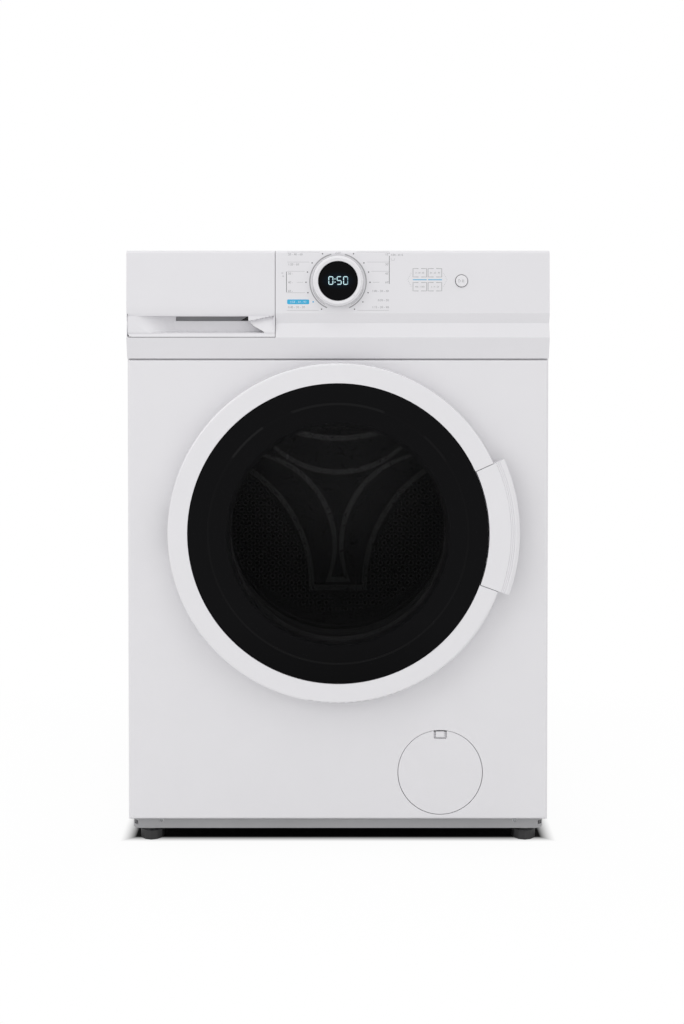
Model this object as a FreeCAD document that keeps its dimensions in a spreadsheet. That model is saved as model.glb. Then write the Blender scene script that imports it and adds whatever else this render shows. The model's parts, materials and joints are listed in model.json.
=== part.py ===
"""Front load washing machine, as a parametric FreeCAD document.

The frame: +Z is up, the machine faces -Y and X runs to the viewer's right. The origin is on the floor,
under the middle of the machine's outer box. Most bodies stand at the front panel's outer face, so their
own y is the depth behind that face.
"""
import FreeCAD, Part

import math
import os
import re

import Sketcher

V = FreeCAD.Vector
DOC = FreeCAD.newDocument("Washer")

# The driving sizes, in millimetres and degrees.
SIZES = {
    # Cabinet
    "cabinet_width": 595,
    "cabinet_height": 850,
    "cabinet_depth": 475,
    "rear_proud": 20,
    "sheet_steel": 1,
    "moulding": 2.5,
    "seam": 0.8,
    "fit_gap": 0.3,
    "running_gap": 0.06,
    "panel_low": 42.7,
    "panel_return": 14,
    "panel_round": 4,
    "rear_return": 28,
    "worktop_thick": 16,
    "cover_dish": 8,
    "service_half": 180,
    "service_rise": 170,
    "service_round": 60,
    "cover_lap": 12,
    "transit_side": 45,
    "transit_rise": 155,
    "transit_radius": 14,
    "inlet_inset": 97.5,
    "inlet_drop": 65,
    "inlet_radius": 13.2,
    "drain_radius": 10,
    "rail_width": 36,
    "rail_high": 24,
    # Base and feet
    "plinth_low": 27,
    "plinth_setback": 9,
    "plinth_inset": 4.5,
    "base_high": 75,
    "base_wall": 3,
    "foot_radius": 17,
    "foot_thick": 13,
    "stud_radius": 4.8,
    "stud_long": 42,
    "foot_side": 27.5,
    "foot_front": 50,
    "foot_back": 45,
    "boss_wall": 8,
    "socket_wall": 7,
    "hatch_half": 80,
    "hatch_front": 120,
    "hatch_back": 55,
    "clip_inset": 9.5,
    "clip_half": 2.8,
    # Control panel
    "fascia_high": 153,
    "fascia_depth": 22,
    "fascia_round": 4,
    "hem_proud": 1,
    "hem_high": 31,
    "lip_proud": 9,
    "lip_high": 20,
    "band_proud": 3.5,
    "band_high": 14,
    "face_proud": 8,
    "brow_proud": 6,
    "knob_drop": 42.5,
    "knob_width": 8.5,
    "knob_thick": 13,
    "mark_angle": -42,
    "display_radius": 27.5,
    "display_proud": 11,
    "start_x": 173.6,
    "start_radius": 8.3,
    "start_travel": 1.5,
    "board_side": 18.7,
    "board_width": 300,
    "board_high": 84,
    # Detergent drawer
    "drawer_width": 208.8,
    "drawer_round": 5.4,
    "scoop_high": 24,
    "scoop_deep": 14,
    "scoop_edge": 2.5,
    "slot_width": 104,
    "slot_high": 6.6,
    "slot_deep": 12,
    "slot_up": 8,
    "tray_side": 10,
    "tray_rise": 24,
    "tray_high": 52,
    "tray_long": 262,
    "tray_wall": 2,
    "first_well": 56.64,
    "softener_well": 58.416,
    "housing_wall": 2.5,
    "housing_long": 288,
    "spout_radius": 14,
    "runner_gap": 0.4,
    "siphon_radius": 11,
    "siphon_high": 35.4,
    # Door
    "door_height": 455,
    "ring_wide": 34,
    "ring_lap": 39,
    "ring_proud": 30,
    "ring_front_round": 3,
    "ring_back_bevel": 12,
    "door_gap": 1.5,
    "glass_lap": 6,
    "glass_thick": 4,
    "lens_edge": 27,
    "lens_rise": 2,
    "handle_up": 24.5,
    "handle_down": 20,
    "handle_reach": 16,
    "handle_gap": 1.3,
    "handle_thick": 10,
    "handle_axis_in": 17,
    "handle_axis_deep": 7,
    "handle_pin": 1.5,
    "handle_seam": 0.25,
    "handle_floor": 6.5,
    "handle_pivot": 46,
    "frame_web": 3,
    "frame_wall": 5,
    "bowl_clear": 15,
    "bowl_taper": 10,
    "bowl_corner": 18,
    "bowl_deep": 110,
    "bowl_chamfer": 22,
    "bowl_wall": 5,
    "bowl_flange": 24,
    "hinge_inset": 14,
    "hinge_set": 18.5,
    "knuckle_radius": 5.5,
    "knuckle_pin": 2.5,
    "knuckle_high": 36,
    "ear_high": 12,
    "hook_inset": 10,
    "hook_axis_deep": 9,
    "hook_reach": 24,
    "hook_high": 10,
    "hook_pin": 1.5,
    "window_half": 15,
    "lock_half": 36,
    "mouth_radius": 165,
    "collar_deep": 12,
    # Filter
    "filter_x": 145,
    "filter_rise": 6.8,
    "flap_radius": 59.7,
    "flap_thick": 3,
    "flap_skirt": 8,
    "tab_width": 19.5,
    "tab_high": 12,
    "cap_radius": 30,
    "pump_wall": 4,
    "pump_long": 112,
    # Tub and drum
    "tub_front_face": 63.5,
    "tub_front_deep": 166.5,
    "tub_radius": 261,
    "tub_wall": 5,
    "neck_long": 13.5,
    "weight_inset": 27,
    "weight_edge": 6,
    "weight_thick": 38,
    "drum_gap": 18,
    "drum_set": 14.5,
    "drum_room": 103,
    "drum_lap": 8,
    "drum_sheet": 1.2,
    "star_rim": 68,
    "star_wide": 49,
    "star_waist": 92,
    "spoke_wide": 21,
    "spoke_waist": 35,
    "bead_wide": 9,
    "bead_deep": 3,
    "spider_room": 40,
    "lifter_high": 44,
    "lifter_base": 56,
    "lifter_room": 49,
    "shaft_radius": 15,
    "bearing_radius": 31,
    "hub_radius": 46,
    "hub_set": 20,
    "hub_proud": 18,
    "pulley_radius": 130,
    "pulley_gap": 4,
    "pulley_width": 16,
    "motor_room": 18,
    "motor_radius": 48,
    "motor_long": 150,
    "motor_pulley_radius": 12,
    "shaft_end_radius": 6,
    "lug_x": 24,
    "heater_half": 30,
    "heater_rod": 3.5,
    "heater_long": 287,
    "sump_back": 22.5,
    "sump_drop": 20,
    "sump_radius": 18,
    "spout_back": 32,
    "belt_thick": 3,
    # Suspension
    "bounce_down": 12,
    "bounce_up": 8,
    "spring_inset": 21,
    "spring_behind": 34.2,
    "spring_rise": 165,
    "spring_drop": 42,
    "spring_radius": 12,
    "spring_wire": 2,
    "damper_inset": 47.5,
    "damper_foot_height": 88,
    "damper_side": 96,
    "damper_drop": 20.8,
    "damper_back": 20,
    "damper_radius": 13,
    "damper_rod": 5,
    "damper_eye": 10,
    "damper_tube": 104,
    "damper_pin": 5,
    "pivot_gap": 0.7,
}

# Places that several pieces share, worked out from the sizes.
FORMULAS = {
    # Cabinet
    "front": "(ring_proud + lens_rise - cabinet_depth - rear_proud) / 2",
    "half_width": "cabinet_width / 2",
    "inner_half": "half_width - sheet_steel",
    "worktop_low": "cabinet_height - worktop_thick",
    "shell_front": "panel_return + seam",
    "cover_half": "service_half + cover_lap",
    "cover_rise": "service_rise + cover_lap",
    "transit_x": "service_half + transit_side",
    "inlet_x": "half_width - inlet_inset",
    "inlet_height": "cabinet_height - inlet_drop",
    "foot_x": "half_width - foot_side",
    "foot_rear": "cabinet_depth - foot_back",
    "base_inner": "inner_half - fit_gap",
    "base_back": "cabinet_depth - 6",
    # Control panel
    "fascia_low": "cabinet_height - fascia_high",
    "lip_low": "fascia_low + hem_high",
    "band_low": "lip_low + lip_high",
    "face_low": "band_low + band_high",
    "knob_height": "cabinet_height - knob_drop",
    "knob_radius": "display_radius + knob_width",
    "knob_bore": "display_radius - 4",
    "knob_front": "-face_proud - knob_thick",
    "display_front": "-face_proud - display_proud",
    "board_left": "drawer_right + board_side",
    "board_front": "fascia_depth - 8",
    # Detergent drawer
    "drawer_right": "drawer_width - half_width",
    "drawer_middle": "drawer_width / 2 - half_width",
    "scoop_top": "face_low - 7",
    "scoop_low": "scoop_top - scoop_high",
    "scoop_half": "drawer_width / 2 - scoop_edge",
    "scoop_bow": "scoop_deep - 1",
    "slot_half": "slot_width / 2",
    "scoop_arc": "(scoop_half * scoop_half + scoop_bow * scoop_bow) / (2 * scoop_bow)",
    "tray_left": "tray_side - half_width",
    "tray_right": "drawer_right - tray_side",
    "tray_low": "lip_low + tray_rise",
    "tray_top": "tray_low + tray_high",
    "softener_right": "tray_left + first_well + tray_wall + softener_well",
    "housing_left": "tray_left - runner_gap - housing_wall",
    "housing_right": "tray_right + runner_gap + housing_wall",
    "housing_low": "tray_low - runner_gap - housing_wall",
    "housing_front": "fascia_depth + seam",
    "housing_back": "housing_front + housing_long",
    "spout_x": "housing_right - spout_radius - 0.2",
    # Door
    "ring_inner": "mouth_radius + ring_lap",
    "ring_radius": "ring_inner + ring_wide",
    "glass_radius": "ring_inner + glass_lap",
    "lens_radius": "glass_radius - lens_edge",
    "glass_back": "glass_thick - ring_proud",
    "handle_radius": "ring_radius + handle_reach",
    "handle_inner": "glass_radius + handle_gap",
    "handle_axis_x": "glass_radius - handle_axis_in",
    "handle_axis_y": "handle_axis_deep - ring_proud",
    "frame_radius": "ring_inner - fit_gap",
    "web_back": "-frame_web",
    "web_front": "-2 * frame_web",
    "bowl_radius": "mouth_radius - bowl_clear",
    "bowl_waist": "bowl_radius - bowl_taper",
    "bowl_floor": "bowl_waist - bowl_corner",
    "hinge_x": "hinge_inset - ring_radius",
    "hinge_half": "knuckle_high / 2 + ear_high + 1",
    "lock_left": "mouth_radius + 13",
    "lock_right": "lock_left + 27",
    "hook_axis_x": "lock_left + hook_inset",
    # Filter and pump
    "flap_hole": "flap_radius + seam",
    "filter_height": "panel_low + filter_rise + flap_hole",
    "pump_radius": "cap_radius + pump_wall",
    # Tub and drum, from the front to the back
    "tub_inner": "tub_radius - tub_wall",
    "tub_seam": "tub_front_face + tub_front_deep",
    "drum_radius": "tub_inner - drum_gap",
    "drum_inner": "drum_radius - drum_sheet",
    "drum_mouth": "bowl_radius + drum_lap",
    "drum_front_face": "tub_front_face + tub_wall + drum_set",
    "drum_back_face": "cabinet_depth - drum_room",
    "lifter_long": "drum_back_face - drum_front_face - lifter_room",
    "tub_back_face": "drum_back_face + spider_room",
    "hub_back": "tub_back_face + hub_proud",
    "pulley_front": "hub_back + pulley_gap",
    "pulley_back": "pulley_front + pulley_width",
    "weight_inner": "mouth_radius + weight_inset",
    "weight_outer": "tub_radius - weight_edge",
    "motor_height": "door_height - tub_radius - motor_room - motor_radius",
    "motor_drop": "door_height - motor_height",
    "motor_back": "pulley_front - 6",
    "motor_front": "motor_back - motor_long",
    "heater_low": "(drum_radius + tub_inner) / 2",
    "heater_front": "tub_back_face - tub_wall - heater_long",
    "sump_deep": "tub_front_face + sump_back",
    "sump_side": "sqrt(tub_radius * tub_radius - filter_x * filter_x)",
    "sump_root": "6 - sump_side",
    "sump_top": "door_height - sump_side - sump_drop - filter_height",
    "spout_deep": "tub_seam + spout_back",
    "spout_low": "door_height + tub_radius - 14",
    "spout_edge": "spout_x - spout_radius",
    "spout_root": "sqrt(tub_inner * tub_inner - spout_edge * spout_edge)",
    # Suspension
    "spring_x": "tub_radius - spring_inset",
    "spring_root": "sqrt(tub_inner * tub_inner - spring_x * spring_x) - 9",
    "spring_deep": "housing_back + spring_behind",
    "spring_low": "door_height + spring_rise",
    "spring_high": "worktop_low - spring_drop",
    "damper_foot_x": "half_width - damper_inset",
    "damper_top_x": "tub_radius - damper_side",
    "damper_under": "sqrt(tub_radius * tub_radius - damper_top_x * damper_top_x)",
    "damper_top_height": "door_height - damper_under - damper_drop",
    "ear_root": "28 - damper_under - damper_drop",
    "damper_deep": "tub_seam + damper_back",
    "damper_run": "damper_foot_x - damper_top_x",
    "damper_rise": "damper_top_height - damper_foot_height",
    "damper_length": "sqrt(damper_run * damper_run + damper_rise * damper_rise)",
    "damper_lean": "atan(damper_run / damper_rise)",
}


def make_sheet():
    """The spreadsheet that holds each driving size in a cell of its own."""
    cells = DOC.addObject("Spreadsheet::Sheet", "Sizes")
    for row, (name, size) in enumerate(SIZES.items(), start=1):
        cells.set("A%d" % row, name)
        cells.set("B%d" % row, str(size))
        cells.setAlias("B%d" % row, name)
    DOC.recompute()
    return cells


SHEET = make_sheet()


def bound(text):
    """A size expression with every name pointed at its cell, and shared places written out."""
    def point(match):
        name = match.group(0)
        if name in FORMULAS:
            return "(" + bound(FORMULAS[name]) + ")"
        return "Sizes." + name if name in SIZES else name

    return re.sub(r"[A-Za-z_]\w*", point, str(text))


def value(text):
    """The number that a size expression comes to."""
    return float(SHEET.evalExpression(bound(text)))


def origin_item(body, role):
    """One of the body's own origin planes or axes, such as XZ_Plane or Y_Axis."""
    return [item for item in body.Origin.OriginFeatures if item.Role == role][0]


def new_body(label, x=0, y="front", z=0, axis=(0, 0, 1), turn=None):
    """A PartDesign body whose placement follows the sizes."""
    body = DOC.addObject("PartDesign::Body", label)
    body.Label = label
    body.AllowCompound = True
    body.Placement = FreeCAD.Placement(V(0, 0, 0), FreeCAD.Rotation(V(*axis), value(turn or 0)))
    if turn is not None:
        body.setExpression("Placement.Rotation.Angle", bound(turn))
    for letter, place in zip("xyz", (x, y, z)):
        body.setExpression("Placement.Base." + letter, bound(place))
    return body


def arc_between(start, end, radius):
    """The shorter arc from start to end: counter-clockwise for a positive radius."""
    middle = (start + end) / 2
    chord = end - start
    side = V(-chord.y, chord.x, 0).normalize()
    rise = math.sqrt(max(radius * radius - (chord.Length / 2) ** 2, 0))
    centre = middle + side * rise * (1 if radius > 0 else -1)
    first, last = (start, end) if radius > 0 else (end, start)
    angles = [math.atan2((p - centre).y, (p - centre).x) for p in (first, last)]
    return Part.ArcOfCircle(Part.Circle(centre, V(0, 0, 1), abs(radius)), angles[0], angles[1])


def add_loop(sketch, corners):
    """A closed outline. A corner is (x, y), or (x, y, r) where an arc of radius r leads to it."""
    points = [V(value(c[0]), value(c[1]), 0) for c in corners]
    base = sketch.GeometryCount
    shapes = []
    ends = []
    rules = []
    formulas = []

    def rule(place, *constraint):
        formulas.append((sketch.ConstraintCount + len(rules), place))
        rules.append(Sketcher.Constraint(*constraint))

    for i, corner in enumerate(corners):
        start = points[i - 1]
        radius = value(corner[2]) if len(corner) > 2 else 0
        ends.append((1, 2) if radius >= 0 else (2, 1))
        if not radius:
            shapes.append(Part.LineSegment(start, points[i]))
            continue
        chord = points[i] - start
        shapes.append(arc_between(start, points[i], radius))
        if abs(radius) > chord.Length * 0.5001:
            rule("abs(%s)" % corner[2], "Radius", base + i, abs(radius))
            continue
        axis = 0 if abs(chord.y) > abs(chord.x) else 1
        kind = ("DistanceX", "DistanceY")[axis]
        middle = (start + points[i])[axis] / 2
        rule("((%s) + (%s)) / 2" % (corners[i - 1][axis], corner[axis]), kind, -1, 1, base + i, 3, middle)
    for i, corner in enumerate(corners):
        after = (i + 1) % len(corners)
        here = (base + i, ends[i][1])
        rules.append(Sketcher.Constraint("Coincident", *here, base + after, ends[after][0]))
        rule(corner[0], "DistanceX", -1, 1, *here, points[i].x)
        rule(corner[1], "DistanceY", -1, 1, *here, points[i].y)
    sketch.addGeometry(shapes, False)
    sketch.addConstraint(rules)
    for index, place in formulas:
        sketch.setExpression("Constraints[%d]" % index, bound(place))


def add_circle(sketch, x, y, radius):
    """A circle whose centre and radius follow the sizes."""
    index = sketch.GeometryCount
    centre = V(value(x), value(y), 0)
    sketch.addGeometry(Part.Circle(centre, V(0, 0, 1), value(radius)), False)
    first = sketch.ConstraintCount
    sketch.addConstraint([
        Sketcher.Constraint("DistanceX", -1, 1, index, 3, centre.x),
        Sketcher.Constraint("DistanceY", -1, 1, index, 3, centre.y),
        Sketcher.Constraint("Radius", index, value(radius)),
    ])
    for step, place in enumerate((x, y, radius)):
        sketch.setExpression("Constraints[%d]" % (first + step), bound(place))


def box(x0, y0, x1, y1):
    """A rectangular loop."""
    return [(x0, y0), (x1, y0), (x1, y1), (x0, y1)]


def round_box(x0, y0, x1, y1, r):
    """A rectangular loop with round corners."""
    left, right, low, high = ["(%s)" % c for c in (x0, x1, y0, y1)]
    inset = "(%s)" % r
    return [
        (left + "+" + inset, low, r), (right + "-" + inset, low), (right, low + "+" + inset, r),
        (right, high + "-" + inset), (right + "-" + inset, high, r), (left + "+" + inset, high),
        (left, high + "-" + inset, r), (left, low + "+" + inset),
    ]


def many_sided(radius, sides=12):
    """A regular outline with its corners on the circle."""
    angles = [360 * i / sides for i in range(sides)]
    return [("(%s) * cos(%g)" % (radius, angle), "(%s) * sin(%g)" % (radius, angle)) for angle in angles]


def radial_slot(inner, outer, half, angle):
    """A narrow box that points away from the centre at the angle."""
    corners = []
    for along, across in ((inner, "-" + half), (outer, "-" + half), (outer, half), (inner, half)):
        x = "(%s) * cos(%s) - (%s) * sin(%s)" % (along, angle, across, angle)
        y = "(%s) * sin(%s) + (%s) * cos(%s)" % (along, angle, across, angle)
        corners.append((x, y))
    return corners


def star(tip, half, waist):
    """Three arms with hollow flanks between them; the first arm points down."""
    rise = "((%s) / 2 + (%s) * cos(30) - (%s))" % (tip, half, waist)
    chord = "((%s) * cos(30) - (%s) / 2)" % (tip, half)
    flank = "-(%s * %s + %s * %s) / (2 * %s)" % (chord, chord, rise, rise, rise)
    corners = []
    for angle in (-90, 30, 150):
        for side, radius in (("-", flank), ("", None)):
            x = "(%s) * cos(%d) - (%s%s) * sin(%d)" % (tip, angle, side, half, angle)
            y = "(%s) * sin(%d) + (%s%s) * cos(%d)" % (tip, angle, side, half, angle)
            corners.append((x, y, radius) if radius else (x, y))
    return corners


def new_sketch(body, plane, offset, loops, turn=None):
    """A sketch on one of the body's origin planes. A loop is a list of corners, or (x, y, radius)."""
    sketch = body.newObject("Sketcher::SketchObject", body.Label + "_sketch")
    sketch.AttachmentSupport = [(origin_item(body, plane + "_Plane"), "")]
    sketch.MapMode = "FlatFace"
    if turn is not None:
        sketch.AttachmentOffset = FreeCAD.Placement(V(0, 0, 0), FreeCAD.Rotation(V(0, 1, 0), value(turn)))
        sketch.setExpression("AttachmentOffset.Rotation.Angle", bound(turn))
    sketch.setExpression("AttachmentOffset.Base.z", bound(offset))
    for loop in loops:
        if isinstance(loop, tuple):
            add_circle(sketch, *loop)
        else:
            add_loop(sketch, loop)
    sketch.Visibility = False
    return sketch


def pad(body, plane, loops, low, high):
    """Material between low and high, measured across the plane along the body's axis."""
    offset = "-(%s)" % high if plane == "XZ" else low
    feature = body.newObject("PartDesign::Pad", body.Label + "_pad")
    feature.Profile = new_sketch(body, plane, offset, loops)
    feature.setExpression("Length", bound("(%s) - (%s)" % (high, low)))
    body.Tip = feature
    return feature


def cut(body, plane, loops, low, high):
    """A pocket between low and high, measured across the plane along the body's axis."""
    offset = "-(%s)" % low if plane == "XZ" else high
    feature = body.newObject("PartDesign::Pocket", body.Label + "_pocket")
    feature.Profile = new_sketch(body, plane, offset, loops)
    feature.setExpression("Length", bound("(%s) - (%s)" % (high, low)))
    body.Tip = feature
    return feature


def turned(body, loops, angle=360, start=None, kind="Revolution"):
    """A turned form: the loops hold (radius, depth) and turn about the body's Y axis."""
    feature = body.newObject("PartDesign::" + kind, body.Label + "_turn")
    profile = new_sketch(body, "XY", 0, loops, start)
    feature.Profile = profile
    feature.ReferenceAxis = (profile, ["V_Axis"])
    feature.setExpression("Angle", bound(angle))
    body.Tip = feature
    return feature


def turned_up(body, loops, angle=360):
    """A turned form: the loops hold (radius, height) and turn about the body's Z axis."""
    feature = body.newObject("PartDesign::Revolution", body.Label + "_turn")
    profile = new_sketch(body, "XZ", 0, loops)
    feature.Profile = profile
    feature.ReferenceAxis = (profile, ["V_Axis"])
    feature.setExpression("Angle", bound(angle))
    body.Tip = feature
    return feature


def around(body, feature, count, axis="Y_Axis"):
    """Copies of a feature round one of the body's axes."""
    DOC.recompute()
    pattern = body.newObject("PartDesign::PolarPattern", body.Label + "_ring")
    pattern.Originals = [feature]
    pattern.Axis = (origin_item(body, axis), [""])
    pattern.Angle = 360
    pattern.Occurrences = count
    body.Tip = pattern
    return pattern


def mirrored(body, feature, plane="YZ"):
    """A feature's copy on the other side of one of the body's planes."""
    DOC.recompute()
    pattern = body.newObject("PartDesign::Mirrored", body.Label + "_twin")
    pattern.Originals = [feature]
    pattern.MirrorPlane = (origin_item(body, plane + "_Plane"), [""])
    body.Tip = pattern
    return pattern


def edges_where(body, wanted):
    """The names of the tip's edges whose two ends both pass the test, in the body's own frame."""
    DOC.recompute()
    names = []
    for number, edge in enumerate(body.Tip.Shape.Edges, start=1):
        if all(wanted(vertex.Point) for vertex in edge.Vertexes):
            names.append("Edge%d" % number)
    return names


def blend(body, names, radius, kind="Fillet"):
    """A fillet or chamfer on the named edges of the tip."""
    base = body.Tip
    feature = body.newObject("PartDesign::" + kind, body.Label + "_" + kind.lower())
    feature.Base = (base, names)
    feature.setExpression("Radius" if kind == "Fillet" else "Size", bound(radius))
    body.Tip = feature
    return feature


# Cabinet

def cabinet_shell():
    """The wrapped steel sheet: two sides with narrow returns behind, open at the front."""
    body = new_body("cabinet_shell")
    deep = "cabinet_depth - sheet_steel"
    wrap = [
        ("half_width", "shell_front"), ("half_width", deep), ("half_width - rear_return", deep),
        ("half_width - rear_return", deep + " - sheet_steel"), ("inner_half", deep + " - sheet_steel"),
        ("inner_half", "shell_front"),
    ]
    side = pad(body, "XY", [wrap], "panel_low", "worktop_low")
    mirrored(body, side)
    cut(body, "YZ", [box(0, "fascia_low", "housing_front", "worktop_low + 1")],
        "-half_width - 1", "half_width + 1")
    return body


def transit_holes(radius):
    """The four round places where the transit bolts go through the back."""
    heights = ("door_height - transit_rise", "door_height + transit_rise")
    return [(side + "transit_x", height, radius) for side in ("-", "") for height in heights]


def back_panel():
    """The rear sheet with its big service opening, four transit holes and the fitting holes."""
    body = new_body("back_panel")
    pad(body, "XZ", [box("-half_width", "plinth_low", "half_width", "worktop_low")],
        "cabinet_depth - sheet_steel", "cabinet_depth")
    holes = [round_box("-service_half", "door_height - service_rise", "service_half",
                       "door_height + service_rise", "service_round")]
    holes += transit_holes("transit_radius")
    holes.append(("inlet_x", "inlet_height", "inlet_radius + 3"))
    holes.append(("-inlet_x", "inlet_height", "drain_radius + 3"))
    cut(body, "XZ", holes, "cabinet_depth - 2 * sheet_steel", "cabinet_depth + 1")
    return body


def service_cover():
    """The dished cover over the service opening, hung outside the back panel."""
    body = new_body("service_cover")

    def outline(inset, corner):
        half = "cover_half - (%s)" % inset
        rise = "cover_rise - (%s)" % inset
        return round_box("-(%s)" % half, "door_height - (%s)" % rise, half, "door_height + " + rise, corner)

    dish = "2 * cover_lap - 4"
    pad(body, "XZ", [outline(0, "service_round + 10")], "cabinet_depth", "cabinet_depth + sheet_steel")
    pad(body, "XZ", [outline(dish, "service_round - 4")], "cabinet_depth", "cabinet_depth + cover_dish")
    cut(body, "XZ", [outline(dish + " + sheet_steel", "service_round - 4 - sheet_steel")],
        "cabinet_depth - 1", "cabinet_depth + cover_dish - sheet_steel")
    return body


def worktop():
    """The laminated top in its moulded edge, resting on the shell and the fascia's back."""
    body = new_body("worktop")
    pad(body, "XY", [round_box("-half_width", "housing_front", "half_width", "cabinet_depth", 6)],
        "worktop_low", "cabinet_height")
    top = edges_where(body, lambda p: p.z > value("cabinet_height") - 0.01)
    blend(body, top, "fascia_round")
    return body


def front_panel():
    """The steel front: a folded tray with the round mouth, its collar and the filter opening."""
    body = new_body("front_panel")
    pad(body, "XZ", [box("-half_width", "panel_low", "half_width", "fascia_low")], 0, "panel_return")
    upright = edges_where(body, lambda p: abs(p.y) < 0.01 and abs(p.x) > value("half_width") - 0.01)
    blend(body, upright, "panel_round")
    bend = "(panel_round - sheet_steel)"
    hollow = [
        ("inner_half", "panel_return + 1"), ("-inner_half", "panel_return + 1"),
        ("-inner_half", "panel_round"), (bend + " - inner_half", "sheet_steel", bend),
        ("inner_half - " + bend, "sheet_steel"), ("inner_half", "panel_round", bend),
    ]
    cut(body, "XY", [hollow], "panel_low + sheet_steel", "fascia_low - sheet_steel")
    pad(body, "XZ", [(0, "door_height", "mouth_radius + sheet_steel")], 0, "collar_deep")
    cut(body, "XZ", [(0, "door_height", "mouth_radius")], -1, "collar_deep + 1")
    cut(body, "XZ", [("filter_x", "filter_height", "flap_hole")], -1, "panel_return")
    window = box("lock_left", "door_height - window_half", "lock_right", "door_height + window_half")
    cut(body, "XZ", [window], -1, "panel_return")
    return body


def damper_holes(radius):
    """The two round places at the dampers' feet."""
    return [(x, "damper_foot_height", radius) for x in ("-damper_foot_x", "damper_foot_x")]


def base_frame():
    """The moulded base: plinth, floor with an opening, ribs, damper sockets and bosses for the feet."""
    body = new_body("base_frame")
    low = "half_width - plinth_inset"
    floor = "plinth_low + base_wall"
    stands = [(side + "foot_x", deep) for side in ("-", "") for deep in ("foot_front", "foot_rear")]
    plinth = round_box("-(%s)" % low, "plinth_setback", low, "base_back", 12)
    pad(body, "XY", [plinth], "plinth_low", "panel_low")
    pad(body, "XY", [box("-base_inner", "shell_front", "base_inner", "base_back")], "panel_low", "base_high")
    cut(body, "XY", [box("base_wall - base_inner", "shell_front + base_wall", "base_inner - base_wall",
                         "base_back - base_wall")], floor, "base_high + 1")
    pad(body, "XY", [(x, y, "stud_radius + boss_wall") for x, y in stands], "plinth_low - 6", "base_high - 8")
    for side in ("-", ""):
        rib = side + "(hatch_half + 10)"
        pad(body, "XY", [box(rib + " - 1.5", "shell_front", rib + " + 1.5", "base_back - 2")],
            "plinth_low", "plinth_low + 20")
    cut(body, "XY", [(x, y, "stud_radius + running_gap") for x, y in stands], "plinth_low - 7", "base_high")
    cut(body, "XY", [round_box("-hatch_half", "hatch_front", "hatch_half", "cabinet_depth - hatch_back", 20)],
        "plinth_low - 1", floor + " + 1")
    sockets = []
    for x in ("-damper_foot_x", "damper_foot_x"):
        for deep in ("damper_deep - 15 - socket_wall", "damper_deep + 15"):
            sockets.append(box(x + " - 16", deep, x + " + 16", deep + " + socket_wall"))
    pad(body, "XY", sockets, "plinth_low", "damper_foot_height + 12")
    pins = damper_holes("damper_pin + running_gap")
    cut(body, "XZ", pins, "damper_deep - 16 - socket_wall", "damper_deep + 16 + socket_wall")
    middle = "(plinth_low + panel_low) / 2"
    clips = []
    low, high = middle + " - clip_half", middle + " + clip_half"
    for x in ("clip_inset - half_width", "half_width - clip_inset"):
        clips.append(box(x + " - clip_half", low, x + " + clip_half", high))
    cut(body, "XZ", clips, "plinth_setback - 1", "plinth_setback + 12")
    return body


def top_rails():
    """The two side braces under the worktop, joined by a cross rail; the springs hang from them."""
    body = new_body("top_rails")
    low = "worktop_low - rail_high"
    back = "cabinet_depth - 2 * sheet_steel"
    rail = box("inner_half - rail_width", "housing_front + 6", "inner_half", back)
    side = pad(body, "XY", [rail], low, "worktop_low")
    mirrored(body, side)
    hollow = box("inner_half - rail_width - 1", "housing_front + 8", "inner_half - 2", back + " - 2")
    twin = box("2 - inner_half", "housing_front + 8", "rail_width + 1 - inner_half", back + " - 2")
    cut(body, "XY", [hollow, twin], low + " + 2", "worktop_low - 2")
    pad(body, "XY", [box("2 - inner_half", back + " - 33", "inner_half - 2", back + " - 15")],
        "worktop_low - 14", "worktop_low")
    hooks = []
    for x in ("-spring_x", "spring_x"):
        hooks.append(box(x + " - 5", "spring_deep - 3", x + " + 5", "spring_deep + 3"))
    pad(body, "XY", hooks, "spring_high", "worktop_low")
    arms = [
        box("spring_x - 8", "spring_deep - 12", "inner_half", "spring_deep + 12"),
        box("-inner_half", "spring_deep - 12", "8 - spring_x", "spring_deep + 12"),
    ]
    pad(body, "XY", arms, "spring_high + 8", low + " + 2")
    return body


def foot(label, x, deep):
    """A levelling foot: a faceted rubber puck under a threaded stud with its locknut."""
    body = new_body(label, x, "front + " + deep, 0)
    pad(body, "XY", [many_sided("foot_radius")], 0, "foot_thick")
    pad(body, "XY", [many_sided("2 * stud_radius", 6)], "foot_thick", "plinth_low - 6 - fit_gap")
    pad(body, "XY", [(0, 0, "stud_radius")], "foot_thick", "foot_thick + stud_long")
    return body


# Control panel

def fascia_section(low, last):
    """The side outline that the control panel and the drawer share, from the top down to the lip."""
    return [
        ("fascia_round - brow_proud", "cabinet_height"),
        ("-brow_proud", "cabinet_height - fascia_round", "fascia_round"),
        ("-face_proud", "face_low"), ("-band_proud", "band_low"), ("-lip_proud", last),
    ] + low + [("fascia_depth", "cabinet_height")]


def control_panel():
    """The moulded fascia: brow, hollow band and lip across the front, open behind and at the drawer."""
    body = new_body("control_panel")
    low = "fascia_low + seam"
    section = fascia_section([("-hem_proud", low), ("fascia_depth", low)], "lip_low")
    pad(body, "YZ", [section], "-half_width", "half_width")
    hollow = box("moulding", low + " + moulding", "fascia_depth + 1", "cabinet_height - moulding")
    cut(body, "YZ", [hollow], "moulding - half_width", "half_width - moulding")
    cut(body, "XZ", [box("-half_width - 1", "lip_low", "drawer_right + seam", "cabinet_height + 1")],
        "-2 * lip_proud", "fascia_depth + 1")
    holes = [(0, "knob_height", "knob_bore"), ("start_x", "knob_height", "start_radius + seam")]
    cut(body, "XZ", holes, "-2 * lip_proud", "fascia_depth")
    return body


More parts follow.
